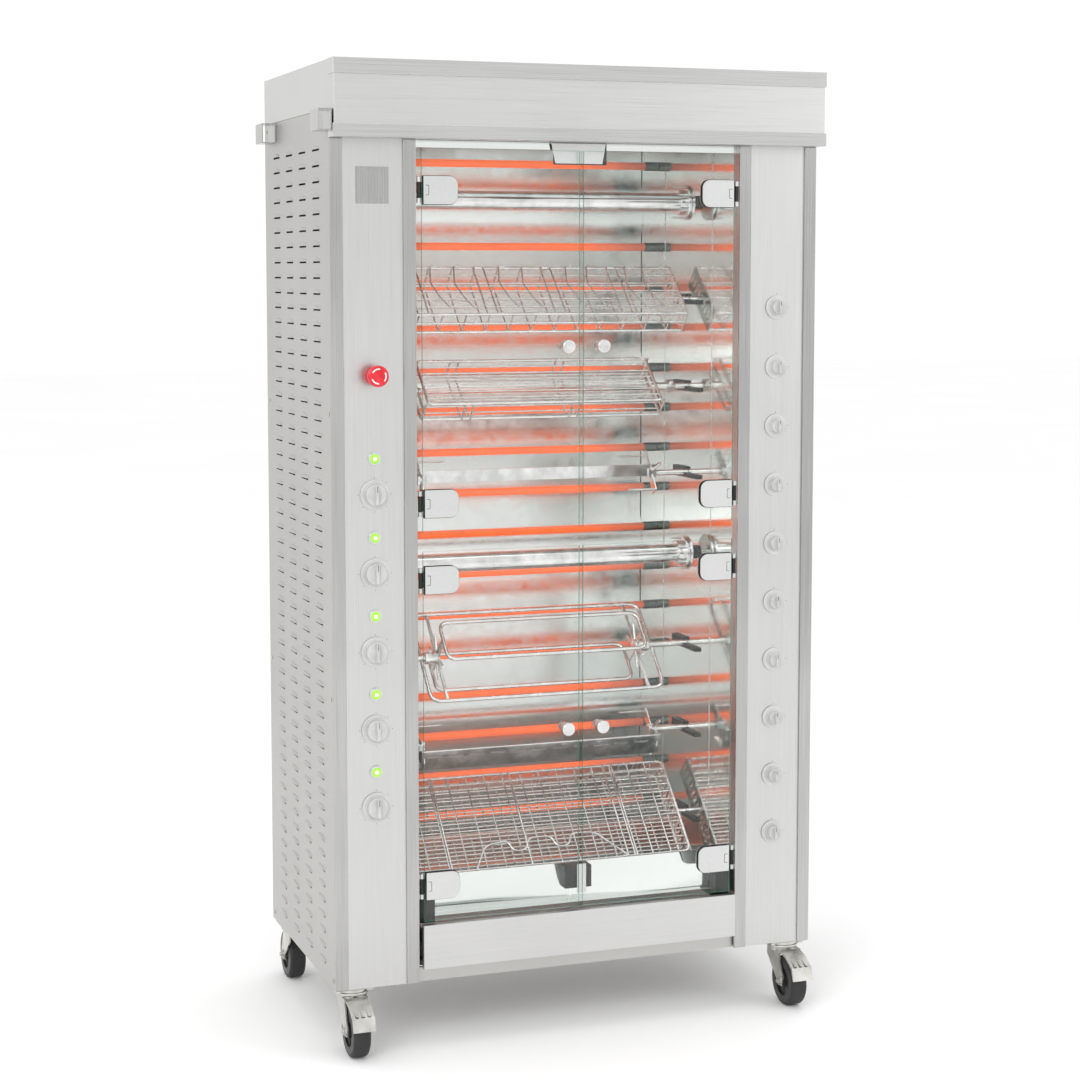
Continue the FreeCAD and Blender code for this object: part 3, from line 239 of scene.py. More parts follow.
# Chamber linings: stainless polished to a mirror.
WALL_MIRROR = polished("stainless_mirror_wall", "dde1de", "ebeeeb", 0.09, 0.0004)
BACK_MIRROR = polished("stainless_mirror_reflector", "dde1de", "ebeeeb", 0.20, 0.0006)
# Spits: chromed steel wire and drawn stainless bar.
WIRE = plated("chromed_wire", "d6d6d3", "f0f0ee", 0.20)
SPIT_BAR = plated("drawn_stainless_bar", "cfcfcd", "ececea", 0.14)
CLAMP_STEEL = brushed("satin_stainless_clamp", "c8c9c8", "dadbda", 0.36, (500.0, 500.0, 500.0))
FERRULE = plated("oxidised_steel_ferrule", "5c635e", "7d857f", 0.38)
ZINC = plated("bright_zinc_plate", "bdbcb6", "dcdbd6", 0.3)
BLACK_POLYMER = moulded("black_glass_filled_nylon", "0b0b0b", "1a1a1a", 0.42)
GASKET = moulded("black_silicone_gasket", "070707", "121212", 0.5)
TYRE = moulded("black_solid_rubber", "1b1b1c", "2c2c2d", 0.55, 700.0)
HUB = moulded("dark_grey_nylon_hub", "232324", "353536", 0.4)
KNOB = moulded("light_grey_satin_knob", "b6b6b5", "c8c8c7", 0.34)
DIAL = moulded("pale_grey_dial", "bdbdbc", "cbcbca", 0.4)
MARK = moulded("dark_grey_print", "3a3a3a", "4c4c4c", 0.5)
STOP_RED = moulded("red_gloss_stop_head", "c2101f", "e8303c", 0.24, 300.0)
STOP_COLLAR = moulded("red_collar_ring", "b80d1c", "da2434", 0.32, 300.0)
STOP_ARROW = moulded("white_print_arrow", "f2dcdc", "fbeeee", 0.4, 300.0)
LAMP_LENS = moulded("lit_green_lens", "6fb82c", "9ad24a", 0.2, 200.0)
LAMP_CORE = moulded("lit_lamp_core", "e6ffd2", "f6fff0", 0.3, 200.0)
PANE = glass("clear_toughened_glass", "e4efea", 0.03, 0.03)
PANE_EDGE = glass("green_glass_edge", "5f9c8a", 0.72, 0.18)
ELEMENT = glowing("glowing_sheathed_element", "c4512a", "e8642e", "a8857c", 0.8, 0.17, 0.325)
MOTOR = moulded("grey_hammer_paint", "55585a", "6a6d6f", 0.45, 160.0)
for lit, tint, strength in ((LAMP_LENS, "8cd83a", 0.9), (LAMP_CORE, "f4ffe6", 1.6)):
    shader = lit.node_tree.nodes["Principled BSDF"]
    shader.inputs["Emission Color"].default_value = srgb(tint)
    shader.inputs["Emission Strength"].default_value = strength


# ---------------------------------------------------------------- ways of making a piece

def deselect():
    if bpy.context.object and bpy.context.object.mode != "OBJECT":
        bpy.ops.object.mode_set(mode="OBJECT")
    bpy.ops.object.select_all(action="DESELECT")


def pick(*objects):
    """Selects only these, the first one active."""
    deselect()
    for obj in objects:
        obj.select_set(True)
    bpy.context.view_layer.objects.active = objects[0]
    return objects[0]


def settle(obj):
    """Puts the object's place into its mesh."""
    pick(obj)
    bpy.ops.object.transform_apply(location=True, rotation=True, scale=True)
    return obj


def applied(obj, kind, **settings):
    """One modifier, set and applied."""
    pick(obj)
    modifier = obj.modifiers.new(kind.lower(), kind)
    for key, value in settings.items():
        setattr(modifier, key, value)
    bpy.ops.object.modifier_apply(modifier=modifier.name)
    return obj


def softened(obj, width, segments=2, angle=40.0):
    """Rounded edges, as a folded or moulded piece has, with the flats left truly flat."""
    smooth(obj, angle)
    return applied(obj, "BEVEL", width=width, segments=segments, limit_method="ANGLE",
                   angle_limit=math.radians(angle), use_clamp_overlap=True, harden_normals=True)


def smooth(obj, angle=40.0):
    pick(obj)
    bpy.ops.object.shade_smooth_by_angle(angle=math.radians(angle))
    return obj


def block(name, low, high, edge=0.0, segments=2):
    low, high = Vector(low), Vector(high)
    deselect()
    bpy.ops.mesh.primitive_cube_add(size=1.0, location=(low + high) / 2)
    obj = bpy.context.object
    obj.name = name
    obj.scale = high - low
    settle(obj)
    return softened(obj, edge, segments) if edge else obj


def turned(name, radius, start, stop, edge=0.0, sides=32, segments=2):
    """A round bar between two points, its end edges softened."""
    start, stop = Vector(start), Vector(stop)
    run = stop - start
    deselect()
    bpy.ops.mesh.primitive_cylinder_add(
        vertices=sides, radius=radius, depth=run.length, location=(start + stop) / 2,
        rotation=run.to_track_quat("Z", "Y").to_euler())
    obj = bpy.context.object
    obj.name = name
    settle(obj)
    return softened(obj, edge, segments) if edge else smooth(obj)


def hollowed(obj, *tools):
    """The tools cut out of obj, then thrown away."""
    for tool in tools:
        applied(obj, "BOOLEAN", operation="DIFFERENCE", object=tool, solver="EXACT")
        bpy.data.objects.remove(tool)
    pick(obj)
    bpy.ops.mesh.customdata_custom_splitnormals_clear()
    return smooth(obj)


def merged(name, objects):
    """Several pieces as one object."""
    pick(*objects)
    bpy.ops.object.join()
    obj = bpy.context.object
    obj.name = name
    return obj


def rowed(obj, count, step):
    """Copies in a straight row."""
    return applied(obj, "ARRAY", count=count, use_relative_offset=False, use_constant_offset=True,
                   constant_offset_displace=step)


def placed(obj, matrix):
    """Turns or moves a finished mesh."""
    obj.matrix_world = matrix
    return settle(obj)


def copied(obj, name):
    twin = obj.copy()
    twin.data = obj.data.copy()
    twin.name = name
    bpy.context.scene.collection.objects.link(twin)
    return twin


def rounded_path(points, corner, closed, steps=5):
    """The line of a bent wire: straight runs with an arc at each corner."""
    path = []
    count = len(points)
    for i, point in enumerate(points):
        here = Vector(point)
        if not closed and i in (0, count - 1):
            path.append(here)
            continue
        before, after = Vector(points[i - 1]), Vector(points[(i + 1) % count])
        reach = min(corner, (before - here).length * 0.48, (after - here).length * 0.48)
        first = here + (before - here).normalized() * reach
        last = here + (after - here).normalized() * reach
        for k in range(steps + 1):
            t = k / steps
            path.append(first * (1 - t) ** 2 + here * 2 * t * (1 - t) + last * t ** 2)
    return path


def wire(name, points, radius, corner=0.006, closed=False, round_steps=2):
    """Wire bent along points."""
    curve = bpy.data.curves.new(name, "CURVE")
    curve.dimensions = "3D"
    curve.bevel_depth = radius
    curve.bevel_resolution = round_steps
    curve.use_fill_caps = not closed
    path = rounded_path(points, corner, closed)
    spline = curve.splines.new("POLY")
    spline.points.add(len(path) - 1)
    for point, place in zip(spline.points, path):
        point.co = (*place, 1.0)
    spline.use_cyclic_u = closed
    obj = bpy.data.objects.new(name, curve)
    bpy.context.scene.collection.objects.link(obj)
    pick(obj)
    bpy.ops.object.convert(target="MESH")
    obj = bpy.context.object
    return smooth(obj, 60.0)


def slotted(obj, material):
    obj.data.materials.clear()
    obj.data.materials.append(material)
    return obj


def finished(obj, material, body="cabinet", stands_for=()):
    """Gives a piece its material, the body it moves with and the CAD nodes it stands for."""
    if material is not None:
        slotted(obj, material)
    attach(obj, body)
    if stands_for:
        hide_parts(*stands_for)
    return obj


def dressed(node, material, body="cabinet", edge=0.0006, segments=2, angle=35.0):
    """A CAD node's own form, its loose triangles merged into faces and its edges broken."""
    obj = copied(frame["nodes"][node], node + "_dressed")
    obj.parent = None
    for key in [k for k in obj.keys() if k.startswith("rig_")]:
        del obj[key]
    pick(obj)
    bpy.ops.object.mode_set(mode="EDIT")
    bpy.ops.mesh.select_all(action="SELECT")
    bpy.ops.mesh.remove_doubles(threshold=0.00001)
    bpy.ops.mesh.dissolve_limited(angle_limit=math.radians(1.0))
    bpy.ops.object.mode_set(mode="OBJECT")
    if edge:
        softened(obj, edge, segments, angle)
    else:
        smooth(obj, angle)
    return finished(obj, material, body, (node,))


# ---------------------------------------------------------------- cabinet sheets

# Back, base and side sheets take the side steel, its darker grey being painted shade.
dressed("back_panel", SIDE_STEEL_PAINTED_SHADE, edge=0.0)
dressed("base_frame", SIDE_STEEL_PAINTED_SHADE, edge=0.0)
dressed("left_control_panel", PILLAR_STEEL, edge=0.0004)
dressed("right_control_panel", PILLAR_STEEL, edge=0.0004)
dressed("hood_shell", HOOD_STEEL, edge=0.0008)
dressed("side_panels", SIDE_STEEL_PAINTED_SHADE, edge=0.0)


def trims():
    """The bright strips, their streaks partly painted reflection bands: the pillars' grain runs upright and
    the hood's bands run level.
    """
    obj = dressed("bright_trims", TRIM_STEEL_GRAIN_AND_PAINTED_REFLECTION, edge=0.0012, segments=3)
    obj.data.materials.append(BAND_STEEL_GRAIN_AND_PAINTED_REFLECTION)
    for face in obj.data.polygons:
        if face.center.z > HOOD_LOW.z - 0.0001:
            face.material_index = 1
    return obj


trims()


def louvre_lip():
    """One pressed lip: half a flattened bead standing out of the sheet, open along its lower edge."""
    deselect()
    bpy.ops.mesh.primitive_uv_sphere_add(
        segments=16, ring_count=8, radius=1.0, rotation=(0.0, math.pi / 2, 0.0))
    lip = bpy.context.object
    bpy.ops.object.transform_apply(rotation=True)
    bpy.ops.object.mode_set(mode="EDIT")
    bpy.ops.mesh.select_all(action="SELECT")
    bpy.ops.mesh.bisect(plane_co=(0.0, 0.0, 0.0), plane_no=(1.0, 0.0, 0.0), clear_inner=True)
    bpy.ops.mesh.select_all(action="SELECT")
    bpy.ops.mesh.bisect(plane_co=(0.0, 0.0, -0.25), plane_no=(0.0, 0.0, 1.0), clear_inner=True)
    bpy.ops.object.mode_set(mode="OBJECT")
    lip.scale = (3.2 * MM, 29.0 * MM, 5.2 * MM)
    bpy.ops.object.transform_apply(scale=True)
    applied(lip, "SOLIDIFY", thickness=0.7 * MM, offset=-1.0)
    return smooth(lip, 50.0)


LOUVRE_COLUMNS, LOUVRE_ROWS = 4, 53
LOUVRE_FIRST_Y, LOUVRE_COLUMN_PITCH = inside(101), 108 * MM
LOUVRE_FIRST_Z, LOUVRE_ROW_PITCH = SIDE_LOW.z + 36.5 * MM, 30 * MM
right_lips = louvre_lip()
placed(right_lips, Matrix.Translation((SIDE_X, LOUVRE_FIRST_Y, LOUVRE_FIRST_Z)))
rowed(right_lips, LOUVRE_ROWS, (0.0, 0.0, LOUVRE_ROW_PITCH))
rowed(right_lips, LOUVRE_COLUMNS, (0.0, LOUVRE_COLUMN_PITCH, 0.0))
left_lips = copied(right_lips, "left_louvre_lips")
placed(left_lips, Matrix.Scale(-1.0, 4, (1.0, 0.0, 0.0)))
pick(left_lips)
bpy.ops.object.mode_set(mode="EDIT")
bpy.ops.mesh.select_all(action="SELECT")
bpy.ops.mesh.normals_make_consistent(inside=False)
bpy.ops.object.mode_set(mode="OBJECT")
right_lips.name = "right_louvre_lips"
# The louvre lips take the side steel, its darker grey being painted shade.
for lips in (right_lips, left_lips):
    finished(lips, SIDE_STEEL_PAINTED_SHADE)


def pan_head(name, place, outward, radius=4.0 * MM):
    """A domed screw head with a cross recess."""
    place, outward = Vector(place), Vector(outward)
    head = turned(name, radius, place, place + outward * 1.8 * MM, 0.9 * MM, 20, 3)
    turn = outward.to_track_quat("Z", "Y").to_matrix().to_4x4()
    for quarter in (0.0, 90.0):
        arm = radius * 0.6
        bar = block(name + "_recess", (-arm, -0.4 * MM, -0.6 * MM), (arm, 0.4 * MM, 0.6 * MM))
        placed(bar, Matrix.Translation(place + outward * 1.8 * MM) @ turn @ spun(quarter, "Z"))
        hollowed(head, bar)
    return head


side_screws = []
for side in (-1, 1):
    for z in (SIDE_LOW.z + 15 * MM, SIDE_LOW.z + 560 * MM, SIDE_LOW.z + 1100 * MM, SIDE_HIGH.z - 14 * MM):
        for y in (inside(16), inside(512)):
            side_screws.append(pan_head("side_screw", (side * SIDE_X, y, z), (side, 0.0, 0.0)))
finished(merged("side_screws", side_screws), ZINC)

badge = block("maker_badge", (-CONTROL_X - 33 * MM, ahead(1.4), 1.622),
              (-CONTROL_X + 31 * MM, FRONT_Y, 1.690))
pick(badge)
bpy.ops.object.mode_set(mode="EDIT")
bpy.ops.mesh.select_all(action="DESELECT")
bpy.ops.object.mode_set(mode="OBJECT")
for face in badge.data.polygons:
    face.select = face.normal.y < -0.9
bpy.ops.object.mode_set(mode="EDIT")
bpy.ops.mesh.inset(thickness=3.5 * MM, depth=-0.6 * MM)
bpy.ops.mesh.inset(thickness=9.0 * MM, depth=0.5 * MM)
bpy.ops.object.mode_set(mode="OBJECT")
softened(badge, 0.5 * MM, 2)
# The badge takes the bright strip steel, with its painted reflection streaks.
finished(badge, TRIM_STEEL_GRAIN_AND_PAINTED_REFLECTION)

# The side sleeves take the bright strip steel, with its painted reflection streaks.
dressed("side_sleeves", TRIM_STEEL_GRAIN_AND_PAINTED_REFLECTION, edge=0.0006)
dressed("drip_drawer", HOOD_STEEL, "drip_drawer", edge=0.0010, segments=3)


# ---------------------------------------------------------------- chamber

dressed("chamber_liner", WALL_MIRROR, edge=0.0)
dressed("back_reflector", BACK_MIRROR, edge=0.0)
dressed("drip_deflectors", WALL_MIRROR, edge=0.0003)
dressed("heating_tubes", ELEMENT, edge=0.0)
dressed("spit_bearings", BLACK_POLYMER, edge=0.0012)
dressed("drive_motors", MOTOR, edge=0.0015)
dressed("electrical_unit", BLACK_POLYMER, edge=0.0008)
dressed("door_catches", BLACK_POLYMER, edge=0.0010)

seams = []
for side in (-1, 1):
    for depth in (131, 377):
        x = side * (WALL_X - 0.2 * MM)
        x0, x1 = sorted((x, x - side * 0.6 * MM))
        seams.append(block("wall_seam", (x0, inside(depth), LINER_LOW.z + 4 * MM),
                           (x1, inside(depth + 2.4), LINER_HIGH.z - 30 * MM), 0.0002))
finished(merged("wall_seams", seams), WIRE)

ferrules = []
for i in range(17):
    z = 1.720 - 0.086 * i
    for side in (-1, 1):
        inner = Vector((side * (WALL_X - 30 * MM), inside(424), z))
        outer = Vector((side * (WALL_X - 0.4 * MM), inside(424), z))
        ferrules.append(turned("tube_ferrule", 9.6 * MM, inner, outer, 1.0 * MM, 20))
finished(merged("tube_ferrules", ferrules), FERRULE)


# ---------------------------------------------------------------- spits

SPIT = {
    number: Vector(JOINTS[f"spit_{number}_turn"]["pos_m"]) for number in range(1, 9)
}
ROD_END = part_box("spit_4_angle_bar")[1].x


def about_axis(number, tilt):
    """Where a spit that was drawn about the X axis stands."""
    return Matrix.Translation(SPIT[number]) @ spun(tilt, "X")


def rod_ends(start):
    """The round rod at both ends, its tip rounded."""
    return [
        turned("rod_end", 6.0 * MM, (side * start, 0.0, 0.0), (side * ROD_END, 0.0, 0.0), 1.2 * MM, 24)
        for side in (-1, 1)
    ]


def carrying_tube(number, node):
    """A polished tube with a flanged collar, its rim and six small pegs at either end."""
    body_tube = turned("tube", 19.0 * MM, (-0.306, 0, 0), (0.306, 0, 0), 1.0 * MM, 48)
    pieces = [body_tube] + rod_ends(0.300)
    for side in (-1, 1):
        pieces.append(turned("collar_hub", 26.0 * MM, (side * 0.286, 0, 0), (side * 0.300, 0, 0),
                             2.0 * MM, 40))
        for start, stop, radius in ((0.299, 0.3035, 36.0), (0.309, 0.3135, 36.0), (0.3035, 0.309, 30.0)):
            pieces.append(turned("collar", radius * MM, (side * start, 0, 0), (side * stop, 0, 0),
                                 0.9 * MM, 48))
        for k in range(6):
            angle = math.radians(60 * k + 30)
            spot = Vector((0.0, math.cos(angle) * 31 * MM, math.sin(angle) * 31 * MM))
            pieces.append(turned("peg", 2.0 * MM, spot + Vector((side * 0.278, 0, 0)),
                                 spot + Vector((side * 0.300, 0, 0)), 0.6 * MM, 12))
    obj = placed(merged(f"spit_{number}_tube", pieces), about_axis(number, 0.0))
    return finished(obj, SPIT_BAR, f"spit_{number}", (node,))


def end_plate(x, half_width, half_depth, slots):
    """A basket's end plate with a row of slots down it."""
    plate = block("end_plate", (x - 1.0 * MM, -half_width, -half_depth),
                  (x + 1.0 * MM, half_width, half_depth))
    pitch = 2 * half_width / slots
    tool = block("slot_tool", (x - 4 * MM, -half_width + pitch * 0.28, -half_depth * 0.42),
                 (x + 4 * MM, -half_width + pitch * 0.72, half_depth * 0.42))
    rowed(tool, slots, (0.0, pitch, 0.0))
    hollowed(plate, tool)
    return softened(plate, 0.3 * MM, 1)


def run(name, y, z, radius, half, sides=10):
    """One straight wire along the spit."""
    return turned(name, radius, (-half, y, z), (half, y, z), 0.0, sides)


def oblong(half, wide, z):
    """The corners of a loop lying flat about the spit."""
    return [(-half, -wide, z), (half, -wide, z), (half, wide, z), (-half, wide, z)]


def hinged_basket():
    """Spit 2: a narrow basket with bent cross wires, arched lid hooks and small feet."""
    half, wide, deep = 0.3025, 67.0 * MM, 24.5 * MM
    pieces = rod_ends(0.300)
    for x in (-0.3040, 0.3040):
        pieces.append(end_plate(x, wide + 2.5 * MM, deep + 3.0 * MM, 9))
    for z in (-deep, deep):
        for y in (-wide, wide):
            pieces.append(run("frame_wire", y, z, 2.9 * MM, half, 14))
        for k in range(1, 6):
            pieces.append(run("rail", -wide + 2 * wide * k / 6, z, 1.7 * MM, half))
    pieces.append(run("front_rail", -wide, 0.0, 2.2 * MM, half, 12))
    for k in range(12):
        x = -0.270 + 0.049 * k
        pieces.append(wire("cross_wire", [(x, wide, deep - 3 * MM), (x, wide, -deep), (x, -wide, -deep),
                                          (x, -wide, deep - 3 * MM)], 1.7 * MM, 5 * MM))
        pieces.append(turned("foot", 2.2 * MM, (x + 6 * MM, -wide, -deep + 1 * MM),
                             (x + 6 * MM, -wide - 1 * MM, -deep - 4 * MM), 0.7 * MM, 12))
    for x in (-0.262, -0.118, 0.026, 0.170):
        pieces.append(wire("lid_loop", [
            (x - 11 * MM, -wide, deep + 2 * MM), (x - 11 * MM, wide + 0.5 * MM, deep + 2 * MM),
            (x + 11 * MM, wide + 0.5 * MM, deep + 2 * MM), (x + 11 * MM, -wide, deep + 2 * MM)],
            1.8 * MM, 9 * MM))
    for x in (-0.205, -0.155, -0.060, -0.010, 0.085, 0.130, 0.215, 0.255):
        pieces.append(wire("hook", [
            (x, wide, deep - 6 * MM), (x, wide + 2 * MM, deep + 4 * MM),
            (x - 14 * MM, wide + 2 * MM, deep + 4 * MM), (x - 22 * MM, wide * 0.35, deep),
            (x - 12 * MM, -wide * 0.25, deep + 1 * MM),
            (x + 2 * MM, -wide * 0.7, deep + 1 * MM)], 1.7 * MM, 7 * MM))
    obj = placed(merged("spit_2_basket", pieces), about_axis(2, 43.0))
    return finished(obj, WIRE, "spit_2", ("spit_2_hinged_basket",))


def long_basket():
    """Spit 3: long rails in two thick wire frames, held by two pairs of cross clips."""
    half, wide, deep = 0.2575, 61.0 * MM, 21.0 * MM
    pieces = rod_ends(0.250)
    for z, reach in ((-deep, half), (deep, half - 8 * MM)):
        pieces.append(wire("frame", oblong(reach, wide, z), 3.1 * MM, 10 * MM, True))
        for k in range(1, 7):
            pieces.append(run("rail", -wide + 2 * wide * k / 7, z, 1.7 * MM, reach))
    for x in (-0.176, -0.158, 0.052, 0.070):
        pieces.append(wire("clip", [
            (x, wide, deep + 3 * MM), (x, wide + 2.5 * MM, -deep - 3 * MM),
            (x + 3 * MM, -wide - 2.5 * MM, -deep - 3 * MM), (x + 3 * MM, -wide, deep + 3 * MM)],
            2.0 * MM, 4 * MM))
    for side in (-1, 1):
        x = side * 0.2555
        pieces.append(block("end_cross", (x - 2 * MM, -wide + 1 * MM, -3 * MM),
                            (x + 2 * MM, wide - 1 * MM, 3 * MM), 0.0008))
        for y in (-wide, wide):
            pieces.append(wire("upright", [(x, y, -deep), (x, y, deep)], 2.4 * MM))
        x = side * 0.292
        pieces.append(block("end_boss", (x - 9 * MM, -10 * MM, -10 * MM),
                            (x + 9 * MM, 10 * MM, 10 * MM), 0.002))
        pieces.append(turned("thumb_screw", 4 * MM, (x, 0, 9 * MM), (x, 0, 17 * MM), 0.8 * MM, 16))
        pieces.append(turned("sleeve", 8 * MM, (side * 0.256, 0, 0), (side * 0.292, 0, 0), 0.8 * MM, 24))
    obj = placed(merged("spit_3_basket", pieces), about_axis(3, 41.4))
    return finished(obj, WIRE, "spit_3", ("spit_3_long_basket",))


def flat_basket():
    """Spit 8: a wide mesh basket with a lid, two bent handles and slotted end plates."""
    half, wide, deep = 0.3025, 110.0 * MM, 26.0 * MM
    pieces = rod_ends(0.300)
    for x in (-0.3040, 0.3040):
        pieces.append(end_plate(x, wide + 2.5 * MM, deep + 3.0 * MM, 14))
    for z in (-deep, deep):
        pieces.append(wire("frame", oblong(half, wide, z), 2.9 * MM, 14 * MM, True))
        rail = run("rail", -wide + 2 * wide / 12, z - math.copysign(1.4 * MM, z), 1.7 * MM, half - 2 * MM, 8)
        pieces.append(rowed(rail, 11, (0.0, 2 * wide / 12, 0.0)))
        cross = turned("cross", 1.7 * MM, (-0.260, -wide, z + math.copysign(1.2 * MM, z)),
                       (-0.260, wide, z + math.copysign(1.2 * MM, z)), 0.0, 8)
        pieces.append(rowed(cross, 14, (0.040, 0.0, 0.0)))
    for y in (-wide, wide):
        post = turned("post", 1.6 * MM, (-0.272, y, -deep), (-0.272, y, deep), 0.0, 8)
        pieces.append(rowed(post, 18, (0.032, 0.0, 0.0)))
        pieces.append(run("side_rail", y, 0.0, 1.7 * MM, half, 8))
    for x in (-0.215, -0.045, 0.165, 0.185):
        pieces.append(wire("lid_bar", [(x, -wide - 1 * MM, deep - 4 * MM), (x, -wide, deep + 2 * MM),
                                       (x, wide, deep + 2 * MM), (x, wide + 1 * MM, deep - 4 * MM)],
                           2.3 * MM, 4 * MM))
    top, edge_y = deep + 2.2 * MM, -wide
    handle = [(-0.165, 0), (-0.135, 52), (-0.085, 60), (-0.078, 34), (-0.050, 34), (-0.040, 62),
              (0.010, 62), (0.016, 36), (0.044, 36), (0.052, 64), (0.105, 62), (0.165, 0)]
    pieces.append(wire("handle", [(x, edge_y + y * MM, top) for x, y in handle], 2.2 * MM, 14 * MM))
    obj = placed(merged("spit_8_basket", pieces), about_axis(8, 45.0))
    return finished(obj, WIRE, "spit_8", ("spit_8_flat_basket",))


def cradle():
    """Spit 6: a large bent loop and two small ones on star-shaped hubs with clamping screws."""
    pieces = rod_ends(0.214)
    half, wide = 0.2510, 107.0 * MM
    pieces.append(wire("large_loop", oblong(half, wide, 0), 4.0 * MM, 24 * MM, True, 3))
    for z in (-55 * MM, 55 * MM):
        pieces.append(wire("small_loop", oblong(0.215, 45 * MM, z), 4.0 * MM, 20 * MM, True, 3))
    for side in (-1, 1):
        x = side * 0.2170
        pieces.append(turned("hub", 13 * MM, (x - side * 4 * MM, 0, 0), (side * 0.2440, 0, 0), 1.5 * MM, 32))
        pieces.append(turned("clamp_screw", 3.4 * MM, (side * 0.235, 0, 10 * MM), (side * 0.235, 0, 24 * MM),
                             0.8 * MM, 16))
        for turn in (0.0, 180.0):
            arm = block("arm", (x - 2 * MM, -9 * MM, 4 * MM), (x + 2 * MM, 9 * MM, 56 * MM))
            for vertex in arm.data.vertices:
                if vertex.co.z > 30 * MM:
                    vertex.co.y *= 0.45
            softened(arm, 0.8 * MM, 2)
            pieces.append(placed(arm, spun(turn, "X")))
        for turn in (60.0, 120.0, 240.0, 300.0):
            tip = turned("arm_tip", 3.0 * MM, (x, 0, 8 * MM), (x, 0, 46 * MM), 0.8 * MM, 16)
            pieces.append(placed(tip, spun(turn, "X")))
        pieces.append(block("loop_bridge", (x - 3 * MM, 3 * MM - wide, -3 * MM),
                            (x + 3 * MM, wide - 3 * MM, 3 * MM), 0.001))
    obj = placed(merged("spit_6_cradle_wires", pieces), about_axis(6, 45.0))
    return finished(obj, WIRE, "spit_6", ("spit_6_cradle",))


def toward(place):
    """Turns upright pieces about the spit so that they point to place, a pair of y and z."""
    return Matrix.Rotation(math.atan2(-place[0], place[1]), 4, "X")


def fork(x, side, upper, lower):
    """A clamped fork: boss, thumb screw, one plate to the place upper, one to lower, and two tines."""
    pieces = [
        block("boss", (x - 9 * MM, -10 * MM, -10 * MM), (x + 9 * MM, 10 * MM, 10 * MM), 0.0018),
        turned("thumb_screw", 3.6 * MM, (x, -7 * MM, 7 * MM), (x + side * 12 * MM, -22 * MM, 22 * MM),
               0.8 * MM, 16),
    ]
    for place, near, far in ((upper, 7 * MM, 12 * MM), (lower, 9 * MM, 12 * MM)):
        reach = math.hypot(*place)
        plate = block("plate", (x - 1.6 * MM, -near, 6 * MM), (x + 1.6 * MM, near, reach))
        for vertex in plate.data.vertices:
            if vertex.co.z > reach * 0.5:
                vertex.co.y *= far / near
        height = reach - 6 * MM
        tine = turned("tine", 2.2 * MM, (x, 0, height), (x - side * 58 * MM, 0, height), 1.2 * MM, 12)
        pieces.append(placed(softened(plate, 0.8 * MM, 2), toward(place)))
        pieces.append(placed(tine, toward(place)))
    return pieces


def strip(name, half, start, stop, wall):
    """Flat sheet along the spit between two lines, each given as its y and z."""
    rise = Vector((0.0, stop[0] - start[0], stop[1] - start[1]))
    sheet = block(name, (-half, 0.0, -wall / 2), (half, rise.length, wall / 2), 0.0005)
    lean = Matrix.Rotation(math.atan2(rise.z, rise.y), 4, "X")
    return placed(sheet, Matrix.Translation((0.0, *start)) @ lean)


def angle_bar():
    """Spit 4: a light angle bar with a fork at either end."""
    half, wall = 0.2600, 2.5 * MM
    pieces = rod_ends(0.256)
    pieces.append(strip("upright_leaf", half, (-4 * MM, -6 * MM), (-4 * MM, 19 * MM), wall))
    pieces.append(strip("level_leaf", half, (-5 * MM, -5 * MM), (20 * MM, -5 * MM), wall))
    for side in (-1, 1):
        pieces += fork(side * 0.2500, side, (36 * MM, 38 * MM), (-23 * MM, -37 * MM))
    obj = placed(merged("spit_4_bar", pieces), about_axis(4, 0.0))
    return finished(obj, SPIT_BAR, "spit_4", ("spit_4_angle_bar",))


def trough_bar():
    """Spit 7: a trough hung under the rod, slotted below its bright top edge, with a fork at either end."""
    half, wall = 0.2600, 2.2 * MM
    pieces = rod_ends(0.256)
    front = strip("front_leaf", half, (-22 * MM, -45 * MM), (-36 * MM, -5 * MM), wall)
    slots = block("slot", (-0.2480, -50 * MM, -19 * MM), (-0.2160, 0.0, -14 * MM))
    rowed(slots, 11, (0.0450, 0.0, 0.0))
    hollowed(front, slots)
    pieces.append(front)
    pieces.append(strip("rear_leaf", half, (-22 * MM, -45 * MM), (18 * MM, -31 * MM), wall))
    pieces.append(turned("top_edge", 2.0 * MM, (-half, -36 * MM, -5 * MM), (half, -36 * MM, -5 * MM),
                         0.6 * MM, 14))
    for side in (-1, 1):
        x = side * 0.2540
        pieces += fork(x, side, (42 * MM, 36 * MM), (-12 * MM, -40 * MM))
        pieces.append(block("end_web", (x - 1.5 * MM, -32 * MM, -30 * MM), (x + 1.5 * MM, 4 * MM, 2 * MM),
                            0.0006))
    obj = placed(merged("spit_7_trough", pieces), about_axis(7, 0.0))
    return finished(obj, SPIT_BAR, "spit_7", ("spit_7_trough_bar",))


carrying_tube(1, "spit_1_carrying_tube")
hinged_basket()
long_basket()
angle_bar()
carrying_tube(5, "spit_5_carrying_tube")
cradle()
trough_bar()
flat_basket()


# ---------------------------------------------------------------- doors

HINGE_X = abs(JOINTS["upper_left_door_hinge"]["pos_m"][0])
HINGE_Z = {"upper": (1.057, 1.648), "lower": (0.318, 0.911)}


